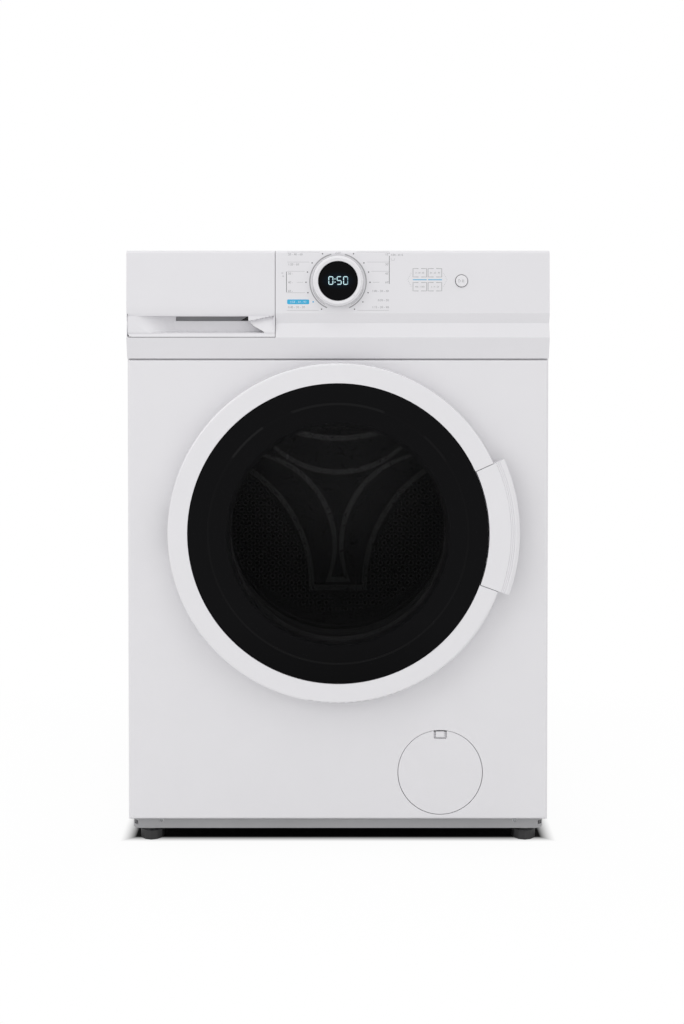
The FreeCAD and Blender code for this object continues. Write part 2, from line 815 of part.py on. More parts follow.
def display_lens():
    """The dark round display that stands still inside the knob, on its hollow post."""
    body = new_body("display_lens", 0, "front", "knob_height")
    post = "knob_bore - running_gap"
    turned(body, [[
        (0, "display_front"), ("display_radius", "display_front"), ("display_radius", "display_front + 4"),
        (post, "display_front + 4"), (post, "board_front"), ("display_radius - 7", "board_front"),
        ("display_radius - 7", "display_front + 3"), (0, "display_front + 3"),
    ]])
    return body


def program_knob():
    """The programme ring that turns round the display, with its pointer groove."""
    body = new_body("program_knob", 0, "front", "knob_height")
    back = "-face_proud - 0.6"
    inner = "display_radius + 0.5"
    turned(body, [[
        (inner, "knob_front + 1"), ("knob_radius - 4", "knob_front"), ("knob_radius - 1", "knob_front + 3"),
        ("knob_radius", back), ("knob_bore", back), ("knob_bore", "display_front + 4.5"),
        (inner, "display_front + 4.5"),
    ]])
    mark = radial_slot("display_radius + 1.5", "knob_radius - 1.5", "0.6", "mark_angle")
    cut(body, "XZ", [mark], "knob_front - 1", "knob_front + 1.2")
    return body


def start_button():
    """The round start key, a cap on a stem that presses the board."""
    body = new_body("start_button", "start_x", "front", "knob_height")
    stem = "start_radius - 4"
    face = "-face_proud - 1.5"
    tail = "board_front - start_travel - fit_gap"
    turned(body, [[
        (0, face), ("start_radius - 0.8", face), ("start_radius", face + " + 0.8"), ("start_radius", -1),
        (stem, -1), (stem, tail), (0, tail),
    ]])
    return body


def control_board():
    """The electronics tray behind the fascia, with the ribs that carry it."""
    body = new_body("control_board")
    low = "knob_height - board_high / 2"
    right = "board_left + board_width"
    tray = box("board_left", low, right, "cabinet_height - moulding")
    pad(body, "XZ", [tray], "board_front", "board_front + 3")
    for x in ("board_left + 30", right + " - 34"):
        pad(body, "XZ", [box(x, low + " + 4", x + " + 4", low + " + 30")], "moulding", "board_front")
    return body


# Detergent drawer

def drawer_front():
    """The drawer's moulded front, in line with the fascia: a curved finger scoop and the slot behind it."""
    body = new_body("drawer_front")
    low = "lip_low + seam"
    pad(body, "YZ", [fascia_section([("fascia_depth", low)], low)], "-half_width", "drawer_right")
    corner = edges_where(body, lambda p: p.x < value("-half_width") + 0.01 and p.z < value(low) + 0.01)
    blend(body, corner, "drawer_round")
    left = "drawer_middle - "
    right = "drawer_middle + "
    scoop = [
        (left + "scoop_half", "-scoop_deep"), (right + "scoop_half", "-scoop_deep"),
        (right + "scoop_half", "1 - face_proud"), (left + "scoop_half", "1 - face_proud", "scoop_arc"),
    ]
    cut(body, "XY", [scoop], "scoop_low", "scoop_top")
    slot = [
        (left + "slot_half", "4 - face_proud"), (right + "slot_half", "4 - face_proud"),
        (right + "slot_half + 4", "slot_deep"), (left + "slot_half", "slot_deep"),
    ]
    cut(body, "XY", [slot], "scoop_top - slot_high", "scoop_top + slot_up")
    inner = "drawer_right - moulding"
    hollow = box("moulding - half_width", "moulding - brow_proud", inner, "fascia_depth + 1")
    cut(body, "XY", [hollow], "scoop_top + slot_up + moulding", "cabinet_height - moulding")
    return body


def drawer_tray():
    """The sliding tray with its three compartments, fixed to the drawer front."""
    body = new_body("drawer_tray")
    back = "fascia_depth + tray_long"
    pad(body, "XY", [box("tray_left", "fascia_depth", "tray_right", back)], "tray_low", "tray_top")
    walls = ["tray_left", "tray_left + first_well", "softener_right", "tray_right - tray_wall"]
    wells = []
    low, high = "fascia_depth + tray_wall", back + " - tray_wall"
    for left, right in zip(walls, walls[1:]):
        wells.append(round_box(left + " + tray_wall", low, right, high, 6))
    cut(body, "XY", wells, "tray_low + tray_wall", "tray_top + 1")
    return body


def drawer_siphon():
    """The siphon cap that stands in the softener well."""
    middle = "tray_left + first_well + tray_wall + softener_well / 2"
    body = new_body("drawer_siphon", middle, "front + fascia_depth + tray_long - 24", "tray_low + tray_wall")
    turned_up(body, [[
        (0, 0), ("siphon_radius", 0), ("siphon_radius", "siphon_high - 7"),
        ("siphon_radius - 3", "siphon_high"), (0, "siphon_high"),
    ]])
    return body


def drawer_housing():
    """The fixed box round the tray, open to the front, with the hose spigot below."""
    body = new_body("drawer_housing")
    high = "tray_top + 3"
    left = "housing_left + housing_wall"
    right = "housing_right - housing_wall"
    outer = box("housing_left", "housing_low", "housing_right", high + " + housing_wall")
    pad(body, "XZ", [outer], "housing_front", "housing_back")
    cut(body, "XZ", [box(left, "housing_low + housing_wall", right, high)],
        "housing_front - 1", "housing_back - housing_wall")
    pad(body, "XY", [("spout_x", "spout_deep", "spout_radius")], "housing_low - 12", "housing_low")
    cut(body, "XY", [("spout_x", "spout_deep", "spout_radius - 3")],
        "housing_low - 13", "housing_low + housing_wall + 1")
    return body


# Door

def door_ring():
    """The white outer ring, flat in front and bevelled behind, cut away for the handle and the hinge."""
    body = new_body("door_ring", 0, "front", "door_height")
    seat = "glass_radius + fit_gap"
    turned(body, [[
        (seat, "-ring_proud"), ("ring_radius - ring_front_round", "-ring_proud"),
        ("ring_radius", "ring_front_round - ring_proud", "ring_front_round"),
        ("ring_radius", "-door_gap - ring_back_bevel"), ("ring_radius - ring_back_bevel", "-door_gap"),
        ("ring_inner", "-door_gap"), ("ring_inner", "glass_back"), (seat, "glass_back"),
    ]])
    turned(body, [[
        ("ring_inner - 1", "-ring_proud - 1"), ("ring_radius + 1", "-ring_proud - 1"),
        ("ring_radius + 1", "-handle_floor - door_gap"), ("ring_inner - 1", "-handle_floor - door_gap"),
    ]], "handle_up + handle_down", "-handle_up", "Groove")
    cut(body, "XZ", [box("-ring_radius - 1", "-hinge_half", "8 - ring_inner", "hinge_half")],
        "-hinge_set - knuckle_radius - 0.6", 1)
    return body


def door_glass():
    """The dark cover disc with its slightly raised centre."""
    body = new_body("door_glass", 0, "front", "door_height")
    lens = "-ring_proud - lens_rise"
    turned(body, [[
        (0, lens), ("lens_radius - 1.5 * lens_rise", lens), ("lens_radius", "-ring_proud"),
        ("glass_radius - 1", "-ring_proud"), ("glass_radius", "1 - ring_proud"),
        ("glass_radius", "glass_back"), (0, "glass_back"),
    ]])
    return body


def door_inner_frame():
    """The door's inner moulding, which carries the bowl's flange, the lever's pins and the hook."""
    body = new_body("door_inner_frame", 0, "front", "door_height")
    inner = "frame_radius - frame_wall"
    turned(body, [[
        (inner, "glass_back"), ("frame_radius", "glass_back"), ("frame_radius", "web_back"),
        ("bowl_radius + fit_gap", "web_back"), ("bowl_radius + fit_gap", "web_front"), (inner, "web_front"),
    ]])
    sector = [
        (inner + " - 1", "-ring_proud"), ("frame_radius + 1", "-ring_proud"),
        ("frame_radius + 1", "web_front - 5"), (inner + " - 1", "web_front - 5"),
    ]
    turned(body, [sector], "handle_up + handle_down", "-handle_up", "Groove")
    ear = [
        ("handle_axis_x - 9", "web_front"), ("handle_axis_x + 4", "web_front"),
        ("handle_axis_x + 3.5", "handle_axis_y - 1"), ("handle_axis_x - 3.5", "handle_axis_y - 1", -4),
    ]
    pad(body, "XY", [ear], "-handle_pivot - 2", "2 - handle_pivot")
    pad(body, "XY", [ear], "handle_pivot - 2", "handle_pivot + 2")
    cut(body, "XY", [("handle_axis_x", "handle_axis_y", "handle_pin + running_gap")],
        "-handle_pivot - 4", "handle_pivot + 4")
    cut(body, "XZ", [box("lock_left - 1", "-hook_high / 2 - 1", "lock_left + 20", "hook_high / 2 + 1")],
        "web_front - 1", 1)
    cheek = [
        ("hook_axis_x - 4", "web_front"), ("hook_axis_x + 6", "web_front"),
        ("hook_axis_x + 4", "-hook_axis_deep"), ("hook_axis_x - 4", "-hook_axis_deep", -4),
    ]
    pad(body, "XY", [cheek], "-hook_high / 2 - 4.5", "-hook_high / 2 - 1")
    pad(body, "XY", [cheek], "hook_high / 2 + 1", "hook_high / 2 + 4.5")
    cut(body, "XY", [("hook_axis_x", "-hook_axis_deep", "hook_pin + running_gap")],
        "-hook_high / 2 - 6", "hook_high / 2 + 6")
    return body


def door_bowl():
    """The deep glass bowl that fills the gasket's mouth."""
    body = new_body("door_bowl", 0, "front", "door_height")
    flange = "bowl_radius + bowl_flange"
    rim = "web_front - bowl_wall"
    turned(body, [[
        ("bowl_radius - bowl_wall", rim), (flange, rim), (flange, "web_front"), ("bowl_radius", "web_front"),
        ("bowl_waist", "bowl_deep - bowl_chamfer"), ("bowl_floor", "bowl_deep"),
        (0, "bowl_deep"), (0, "bowl_deep - bowl_wall"), ("bowl_floor - 2", "bowl_deep - bowl_wall"),
        ("bowl_waist - bowl_wall", "bowl_deep - bowl_chamfer - 2"),
    ]])
    return body


def door_hinge():
    """The door's hinge leaf: a plate in the ring's pocket with its knuckle and pin."""
    body = new_body("door_hinge", "hinge_x", "front - hinge_set", "door_height")
    half = "knuckle_high / 2"
    leaf = "-knuckle_radius - 0.4"
    pad(body, "XY", [box(0, leaf, "-ring_inner - hinge_x - 1", leaf + " + 3")], "-" + half, half)
    pad(body, "XY", [(0, 0, "knuckle_radius")], "-" + half, half)
    pad(body, "XY", [(0, 0, "knuckle_pin")], "-%s - ear_high" % half, half + " + ear_high")
    return body


def hinge_bracket():
    """The cabinet's half of the hinge: a plate on the front panel and two ears round the pin."""
    body = new_body("hinge_bracket", "hinge_x", "front - hinge_set", "door_height")
    half = "(knuckle_high / 2 + ear_high)"
    gap = "knuckle_high / 2 + 0.5"
    pad(body, "XZ", [round_box(4, "-" + half, 40, half, 4)], "hinge_set - 2", "hinge_set")
    cut(body, "XZ", [box(3, "-" + gap.replace("+", "-"), 18, gap)], "hinge_set - 3", "hinge_set + 1")
    neck = [
        ("-knuckle_radius * 0.27", "knuckle_radius * 0.94"), (9.9, "hinge_set - 6.9"), (10.5, "hinge_set"),
        (18, "hinge_set"), (17, "hinge_set - 7.5"), ("knuckle_radius", "-knuckle_radius * 0.1"),
    ]
    for low in (gap, "-" + half):
        high = "(%s) + ear_high - 0.5" % low
        pad(body, "XY", [(0, 0, "knuckle_radius")], low, high)
        pad(body, "XY", [neck], low, high)
    cut(body, "XY", [(0, 0, "knuckle_pin + running_gap")], "-%s - 1" % half, half + " + 1")
    return body


def door_handle():
    """The lever that completes the ring on the right: a grooved plate, hollow behind, on two pins."""
    body = new_body("door_handle", 0, "front", "door_height")
    inner = "handle_inner"
    edge = "handle_radius"
    face = "-ring_proud"
    back = "handle_thick - ring_proud"
    profile = [(inner, face)]
    for groove in range(3):
        start = "%s - 13 + 2.5 * %d" % (edge, groove)
        profile += [(start, face), (start + " + 0.5", face + " + 0.7"), (start + " + 1", face)]
    profile += [
        (edge + " - 5", face), (edge, face + " + 4"), (edge, face + " + 7"), (edge + " - 8", back),
        (inner + " + 6", back), (inner + " + 6", face + " + 15"), (inner, face + " + 15"),
    ]
    turned(body, [profile], "handle_up + handle_down - 2 * handle_seam", "handle_seam - handle_up")
    arm = [
        ("handle_axis_x - 2", "handle_axis_y + 3"), ("handle_axis_x - 2.5", "handle_axis_y - 1.5"),
        ("handle_axis_x", "handle_axis_y - 2.2"), ("glass_radius - 3", "handle_axis_y - 0.4"),
        (inner + " + 4", "handle_axis_y - 0.4"), (inner + " + 4", "handle_axis_y + 6"),
        ("handle_axis_x + 6", "handle_axis_y + 3"),
    ]
    pin = [("handle_axis_x", "handle_axis_y", "handle_pin")]
    pad(body, "XY", [arm], "-handle_pivot + 4", "-handle_pivot + 10")
    pad(body, "XY", [arm], "handle_pivot - 10", "handle_pivot - 4")
    pad(body, "XY", pin, "-handle_pivot - 2", "-handle_pivot + 4")
    pad(body, "XY", pin, "handle_pivot - 4", "handle_pivot + 2")
    return body


def door_hook():
    """The latch hook that the lever draws back."""
    body = new_body("door_hook", "hook_axis_x", "front - hook_axis_deep", "door_height")
    tip = "hook_axis_deep + hook_reach"
    shape = [
        (-4, -2), (4, -2, 4.5), (4, tip + " - 7"), (9, tip + " - 7"), (9, tip + " - 4"), (3, tip), (-2, tip),
        (-4, tip + " - 5"),
    ]
    pad(body, "XY", [shape], "-hook_high / 2", "hook_high / 2")
    pad(body, "XY", [(0, 0, "hook_pin")], "-hook_high / 2 - 4.5", "hook_high / 2 + 4.5")
    return body


def door_lock():
    """The lock case behind the front panel, with an open window for the hook."""
    body = new_body("door_lock")
    low, high = "door_height - lock_half", "door_height + lock_half"
    case = round_box("lock_left - 1.2", low, "lock_right + 12", high, 1)
    pad(body, "XZ", [case], "sheet_steel", "hook_reach + 14")
    half = "hook_high / 2 + 4"
    cut(body, "XZ", [box("lock_left", "door_height - (%s)" % half, "lock_right", "door_height + " + half)],
        0, "hook_reach + 8")
    return body


def door_gasket():
    """The rubber bellows between the front panel's collar and the tub's neck."""
    body = new_body("door_gasket", 0, "front", "door_height")
    lip = "mouth_radius - 0.5"
    neck = "mouth_radius + 0.3"
    end = "tub_front_face - 3.5"
    turned(body, [[
        (lip, 2), (lip, 22), ("mouth_radius + 11", 34), (neck + " + 3", 46), (neck + " + 3", end),
        (neck, end), (neck, 47), ("mouth_radius + 7", 34), ("mouth_radius - 4", 24),
        ("mouth_radius - 11", 22), ("mouth_radius - 11", 2),
    ]])
    return body


# Drain filter

def filter_flap():
    """The round cover with its finger notch and its skirt behind."""
    body = new_body("filter_flap", "filter_x", "front", "filter_height")
    skirt = "flap_radius - moulding"
    turned(body, [[
        (0, 0), ("flap_radius - 0.8", 0), ("flap_radius", 0.8), ("flap_radius", "flap_skirt"),
        (skirt, "flap_skirt"), (skirt, "flap_thick"), (0, "flap_thick"),
    ]])
    outer = "tab_width / 2"
    inner = "(tab_width / 2 - 2)"
    top = "flap_radius + 1"
    root = "flap_radius - tab_high + 5"
    notch = [
        ("-" + outer, top), ("-" + outer, root), (outer, root, outer), (outer, top), (inner, top),
        (inner, root), ("-" + inner, root, "-" + inner), ("-" + inner, top),
    ]
    cut(body, "XZ", [notch], -1, "flap_thick + 1")
    return body


def filter_frame():
    """The ring behind the panel that the cover snaps into."""
    body = new_body("filter_frame", "filter_x", "front", "filter_height")
    inner = "flap_radius + 1.2"
    outer = "flap_radius + 6"
    turned(body, [[
        (inner, "sheet_steel"), (outer, "sheet_steel"), (outer, "flap_skirt + 4"),
        ("cap_radius + 3", "flap_skirt + 4"), ("cap_radius + 3", "flap_skirt + 2"), (inner, "flap_skirt + 2"),
    ]])
    return body


def pump_housing():
    """The drain pump: a body bored for the filter and impeller, with inlet, outlet and motor."""
    body = new_body("pump_housing", "filter_x", "front", "filter_height")
    start = "flap_skirt + 4"
    bore = "cap_radius - 3"
    drive = "pump_radius - 12"
    turned(body, [[
        (bore, start), ("pump_radius", start), ("pump_radius", "pump_long"), (drive, "pump_long"),
        (drive, "pump_long + 34"), (0, "pump_long + 34"), (0, "pump_long - 5"), (bore, "pump_long - 5"),
    ]])
    pad(body, "XY", [(0, "sump_deep", "sump_radius")], "pump_radius - 8", "pump_radius + 12")
    cut(body, "XY", [(0, "sump_deep", "sump_radius - 3")], 0, "pump_radius + 13")
    feet = [box(x, start + " + 8", x + 8, "pump_long - 8") for x in (-30, 22)]
    pad(body, "XY", feet, "plinth_low + base_wall - filter_height", "-pump_radius * 0.55")
    return body


def pump_filter_cap():
    """The drain filter: a grip and cap in front of the slotted basket."""
    body = new_body("pump_filter_cap", "filter_x", "front", "filter_height")
    start = "flap_skirt + 2"
    flange = "flap_skirt + 3.7"
    plug = "cap_radius - 3.4"
    basket = "cap_radius - 8"
    turned(body, [[
        (0, start), ("cap_radius", start), ("cap_radius", flange), (plug, flange), (plug, "flap_skirt + 18"),
        (basket, "flap_skirt + 18"), (basket, "pump_long - 34"), (0, "pump_long - 34"),
    ]])
    slot = cut(body, "XY", [box(-3, "flap_skirt + 24", 3, "pump_long - 40")], 6, "cap_radius")
    around(body, slot, 6)
    pad(body, "XZ", [round_box("6 - cap_radius", -3, "cap_radius - 6", 3, 2.9)], "flap_thick + 1", start)
    return body


def pump_impeller():
    """The pump's small vaned wheel on its shaft."""
    body = new_body("pump_impeller", "filter_x", "front + pump_long - 31", "filter_height")
    pad(body, "XZ", [(0, 0, 4)], 0, "26 - fit_gap")
    vane = pad(body, "XZ", [box(-1, 2, 1, "cap_radius - 8")], 0, 16)
    around(body, vane, 5)
    return body


def sump_hose():
    """The rubber hose from the tub's lowest side down to the pump."""
    body = new_body("sump_hose", "filter_x", "front + sump_deep", "filter_height")
    wall = [many_sided("sump_radius + 4.5"), many_sided("sump_radius + 1")]
    pad(body, "XY", wall, "pump_radius + 2", "sump_top")
    return body


# Tub

def tub_front():
    """The front half of the tub with the gasket's neck and the sump's spigot."""
    body = new_body("tub_front", 0, "front", "door_height")
    face = "tub_front_face"
    neck = "mouth_radius - 6"
    turned(body, [[
        ("mouth_radius", face + " - neck_long"), ("mouth_radius", face), ("tub_radius", face),
        ("tub_radius", "tub_seam"), ("tub_inner", "tub_seam"), ("tub_inner", face + " + tub_wall"),
        (neck, face + " + tub_wall"), (neck, face + " - neck_long"),
    ]])
    low = "sump_top + filter_height - door_height - 16"
    pad(body, "XY", [("filter_x", "sump_deep", "sump_radius")], low, "sump_root")
    cut(body, "XY", [("filter_x", "sump_deep", "sump_radius - 3")], low + " - 1", "sump_root + 12")
    return body


def tub_rear():
    """The rear half of the tub: bearing hub, motor brackets, spring ears and damper ears."""
    body = new_body("tub_rear", 0, "front", "door_height")
    back = "tub_back_face"
    floor = "tub_back_face - tub_wall"
    well = "tub_back_face - hub_set"
    turned(body, [[
        ("tub_inner", "tub_seam"), ("tub_radius", "tub_seam"), ("tub_radius", back), ("hub_radius", back),
        ("hub_radius - 6", "hub_back"), ("bearing_radius", "hub_back"), ("bearing_radius", well),
        ("hub_radius", well), ("hub_radius + 10", floor), ("tub_inner", floor),
    ]])
    rib = pad(body, "XZ", [box(-2, "hub_radius - 2", 2, "tub_radius - 8")], back, back + " + 9")
    around(body, rib, 12)
    for x in ("-spring_x", "spring_x"):
        ear = box("spring_deep - 10", "spring_root", "spring_deep + 10", "spring_low - door_height")
        pad(body, "YZ", [ear], x + " - 4", x + " + 4")
    drop = "damper_top_height - door_height"
    for x in ("-damper_top_x", "damper_top_x"):
        cheek = [(x + " - 9", drop), (x + " + 9", drop, 9)]
        cheek += [(x + " + 14", "ear_root"), (x + " - 14", "ear_root")]
        pad(body, "XZ", [cheek], "damper_deep - 17", "damper_deep - 11")
        pad(body, "XZ", [cheek], "damper_deep + 11", "damper_deep + 17")
        pad(body, "XZ", [(x, drop, "damper_pin")], "damper_deep - 14", "damper_deep + 14")
    lug_low = "fit_gap - motor_drop + sqrt(motor_radius * motor_radius - lug_x * lug_x)"
    for x in ("-lug_x - 10", "lug_x"):
        lug = box(x, lug_low, x + " + 10", "4 - tub_radius")
        pad(body, "XZ", [lug], "motor_front + 20", "motor_front + 34")
        pad(body, "XZ", [lug], "motor_back - 34", "motor_back - 20")
    spout_top = "spout_low - door_height + 12"
    pad(body, "XY", [("spout_x", "spout_deep", "spout_radius")], "spout_root + 1", spout_top)
    cut(body, "XY", [("spout_x", "spout_deep", "spout_radius - 3")], "spout_root - 4", spout_top + " + 1")
    return body


def dispenser_hose():
    """The bellows hose from the drawer housing down into the tub."""
    body = new_body("dispenser_hose", "spout_x", "front + spout_deep", 0)
    wall = [many_sided("spout_radius + 4"), many_sided("spout_radius + 1")]
    pad(body, "XY", wall, "spout_low", "housing_low - 1")
    return body


def counterweight(label, start):
    """Half of the concrete ring bolted to the tub's front."""
    body = new_body(label, 0, "front", "door_height")
    face = "tub_front_face - weight_thick"
    turned(body, [[
        ("weight_inner", face), ("weight_outer - 6", face), ("weight_outer", face + " + 6"),
        ("weight_outer", "tub_front_face"), ("weight_inner", "tub_front_face"),
    ]], 130, start)
    return body


def heater():
    """The tubular heating element low in the tub, on its flange."""
    body = new_body("heater", 0, "front", "door_height")
    legs = [("-heater_half", "-heater_low", "heater_rod"), ("heater_half", "-heater_low", "heater_rod")]
    pad(body, "XZ", legs, "heater_front", "tub_back_face - tub_wall")
    side = "(heater_half + heater_rod)"
    low, high = "-heater_low - heater_rod", "heater_rod - heater_low"
    bridge = round_box("-" + side, low, side, high, "heater_rod - 0.5")
    pad(body, "XZ", [bridge], "heater_front - 4", "heater_front + 2")
    return body


# Drum and drive

def drum():
    """The stainless drum: rolled front lip, wall, and a back with pressed star-shaped beads."""
    body = new_body("drum", 0, "front", "door_height")
    front = "drum_front_face"
    inner = "drum_front_face + drum_sheet"
    floor = "drum_back_face - drum_sheet"
    lip = "drum_mouth + drum_sheet"
    turned(body, [[
        ("drum_mouth", front + " + 8"), ("drum_mouth", front), ("drum_radius - 6", front),
        ("drum_radius", front + " + 6"), ("drum_radius", "drum_back_face"), (0, "drum_back_face"),
        (0, floor), ("drum_inner", floor),
        ("drum_inner", inner + " + 6"), ("drum_inner - 6", inner), (lip, inner), (lip, front + " + 8"),
    ]])
    tip = "(drum_radius - star_rim)"
    inner_tip = "(drum_radius - star_rim - bead_wide - 5)"
    for tip, half, waist in ((tip, "star_wide", "star_waist"), (inner_tip, "spoke_wide", "spoke_waist")):
        edge = star(tip, half, waist)
        hollow = star(tip + " - bead_wide", "(%s - bead_wide)" % half, waist + " - bead_wide")
        pad(body, "XZ", [edge, hollow], floor + " - bead_deep", floor)
    return body


def drum_lifters():
    """Three hollow paddles along the drum's wall."""
    body = new_body("drum_lifters", 0, "front", "door_height")
    base = "sqrt(drum_inner * drum_inner - lifter_base * lifter_base / 4) - fit_gap"
    crest = "drum_inner - lifter_high"
    paddle = [("-lifter_base / 2", base), (-6, crest), (6, crest, -7), ("lifter_base / 2", base)]
    first = pad(body, "XZ", [paddle], "drum_front_face + 24", "drum_front_face + 24 + lifter_long")
    around(body, first, 3)
    return body


def drum_spider():
    """The cast three-armed carrier behind the drum with the shaft cast in."""
    body = new_body("drum_spider", 0, "front", "door_height")
    back = "drum_back_face"
    boss = "drum_back_face + 17"
    shaft_end = "pulley_back + 4"
    step = "hub_back + 1"
    tail = "shaft_radius - 3"
    turned(body, [[
        (0, back), (34, back), (34, back + " + 6"), ("shaft_radius + 6", boss), ("shaft_radius", boss),
        ("shaft_radius", step), (tail, step), (tail, shaft_end), (0, shaft_end),
    ]])
    reach = "drum_radius - 12"
    arm = pad(body, "XZ", [[(-16, 20), (16, 20), (11, reach), (-11, reach)]], back, back + " + 6")
    around(body, arm, 3)
    rib = [(back, 10), (back, reach + " - 2"), (back + " + 9", reach + " - 2"), (boss, 50), (boss, 10)]
    spine = pad(body, "YZ", [rib], -4, 4)
    around(body, spine, 3)
    return body


def bearings():
    """The two ball bearings and the shaft seal, pressed into the hub."""
    body = new_body("bearings", 0, "front", "door_height")
    for start in ("tub_back_face - hub_set + 0.2", "hub_back - 16"):
        turned(body, [box("shaft_radius + running_gap", start, "bearing_radius", start + " + 15")])
    return body


def drum_pulley():
    """The large cast wheel on the shaft: grooved rim, five spokes and hub."""
    body = new_body("drum_pulley", 0, "front", "door_height")
    low = "pulley_front"
    high = "pulley_back"
    turned(body, [[
        ("pulley_radius - 8", low), ("pulley_radius + 2", low), ("pulley_radius", low + " + 2"),
        ("pulley_radius", high + " - 2"), ("pulley_radius + 2", high), ("pulley_radius - 8", high),
    ]])
    turned(body, [box("shaft_radius - 3", low, 28, high)])
    rim = "pulley_radius - 6"
    spoke = pad(body, "XZ", [[(-13, 24), (13, 24), (8, rim), (-8, rim)]], low + " + 5", high + " - 5")
    around(body, spoke, 5)
    return body


def motor():
    """The universal motor slung under the tub."""
    body = new_body("motor", 0, "front", "motor_height")
    end = "motor_radius - 19"
    bore = "shaft_end_radius + running_gap"
    socket = "motor_back - 30"
    turned(body, [[
        (0, "motor_front"), (end, "motor_front"), ("motor_radius", "motor_front + 14"),
        ("motor_radius", "motor_back - 14"), (end, "motor_back"), (bore, "motor_back"), (bore, socket),
        (0, socket),
    ]])
    return body


def motor_pulley():
    """The motor's shaft end with its small pulley."""
    body = new_body("motor_pulley", 0, "front", "motor_height")
    start = "motor_back - 30 + fit_gap"
    rim = "pulley_front - 2"
    turned(body, [[
        (0, start), ("shaft_end_radius", start), ("shaft_end_radius", rim), ("motor_pulley_radius", rim),
        ("motor_pulley_radius", "pulley_back"), (0, "pulley_back"),
    ]])
    return body


def drive_belt():
    """The belt round both pulleys: two arcs joined by straight runs."""
    body = new_body("drive_belt", 0, "front", "door_height")
    lean = "asin((pulley_radius - motor_pulley_radius) / motor_drop)"
    loops = []
    for extra in ("fit_gap", "fit_gap + belt_thick"):
        big = "(pulley_radius + %s)" % extra
        small = "(motor_pulley_radius + %s)" % extra
        big_x, big_z = "%s * cos(%s)" % (big, lean), "-%s * sin(%s)" % (big, lean)
        small_x, small_z = "%s * cos(%s)" % (small, lean), "-motor_drop - %s * sin(%s)" % (small, lean)
        loops.append([
            (big_x, big_z), (0, big, big), ("-" + big_x, big_z, big), ("-" + small_x, small_z),
            (0, "-motor_drop - " + small, small), (small_x, small_z, small),
        ])
    pad(body, "XZ", loops, "pulley_front + 3", "pulley_back - 3")
    return body


# Suspension

def tub_spring(label, side):
    """One of the two springs that the tub hangs on: a plain sleeve with its end hooks."""
    body = new_body(label, side + "spring_x", "front + spring_deep", 0)
    pad(body, "XY", [many_sided("spring_radius")], "spring_low + 14", "spring_high - 14")
    pad(body, "XY", [many_sided("spring_wire")], "spring_low + fit_gap", "spring_high - fit_gap")
    return body


def damper_body(label, side):
    """A body that stands on the damper's foot pin and leans along the damper."""
    lean = "damper_lean" if side == "-" else "-damper_lean"
    deep = "front + damper_deep"
    return new_body(label, side + "damper_foot_x", deep, "damper_foot_height", (0, 1, 0), lean)


def damper_cylinder(label, side):
    """The damper's tube, hinged on the base."""
    body = damper_body(label, side)
    bore = "damper_rod + 0.6"
    pad(body, "XZ", [(0, 0, "damper_eye")], -10, 10)
    turned_up(body, [[
        (0, 9), ("damper_radius", 9), ("damper_radius", "damper_tube"), (bore, "damper_tube"),
        (bore, 22), (0, 22),
    ]])
    cut(body, "XZ", [(0, 0, "damper_pin + running_gap")], -11, 11)
    return body


def damper_plunger(label, side):
    """The damper's rod, whose eye hangs on the tub's pin."""
    body = damper_body(label, side)
    pad(body, "XY", [(0, 0, "damper_rod")], 46, "damper_length - 7")
    pad(body, "XZ", [(0, "damper_length", "damper_eye")], -10, 10)
    cut(body, "XZ", [(0, "damper_length", "damper_pin + pivot_gap")], -11, 11)
    return body


def damper_pins():
    """The two pins that carry the dampers in the base's sockets."""
    body = new_body("damper_pins")
    reach = "(15 + socket_wall)"
    pad(body, "XZ", damper_holes("damper_pin"), "damper_deep - " + reach, "damper_deep + " + reach)
    return body


# Connections behind

def inlet_valve():
    """The water valve behind the back panel with its threaded spigot."""
    body = new_body("inlet_valve", "inlet_x", "front", "inlet_height")
    face = "cabinet_depth - sheet_steel"
    end = "cabinet_depth + rear_proud"
    bore = "inlet_radius - 3.5"
    turned(body, [[
        (0, face + " - 26"), (20, face + " - 26"), (20, face), ("inlet_radius", face), ("inlet_radius", end),
        (bore, end), (bore, "cabinet_depth + 4"), (0, "cabinet_depth + 4"),
    ]])
    return body


def drain_outlet():
    """The hollow spigot on the back that the drain hose pushes on."""
    body = new_body("drain_outlet", "-inlet_x", "front", "inlet_height")
    face = "cabinet_depth - sheet_steel"
    end = "cabinet_depth + rear_proud - 2"
    flange = "drain_radius + 8"
    bore = "drain_radius - 2.5"
    turned(body, [[
        (bore, face + " - 20"), (flange, face + " - 20"), (flange, face), ("drain_radius", face),
        ("drain_radius", end), (bore, end),
    ]])
    return body


def transit_caps():
    """Four caps that close the transit holes."""
    body = new_body("transit_caps")
    pad(body, "XZ", transit_holes("transit_radius + 5"), "cabinet_depth", "cabinet_depth + 3")
    pad(body, "XZ", transit_holes("transit_radius - fit_gap"), "cabinet_depth - 8", "cabinet_depth")
    return body


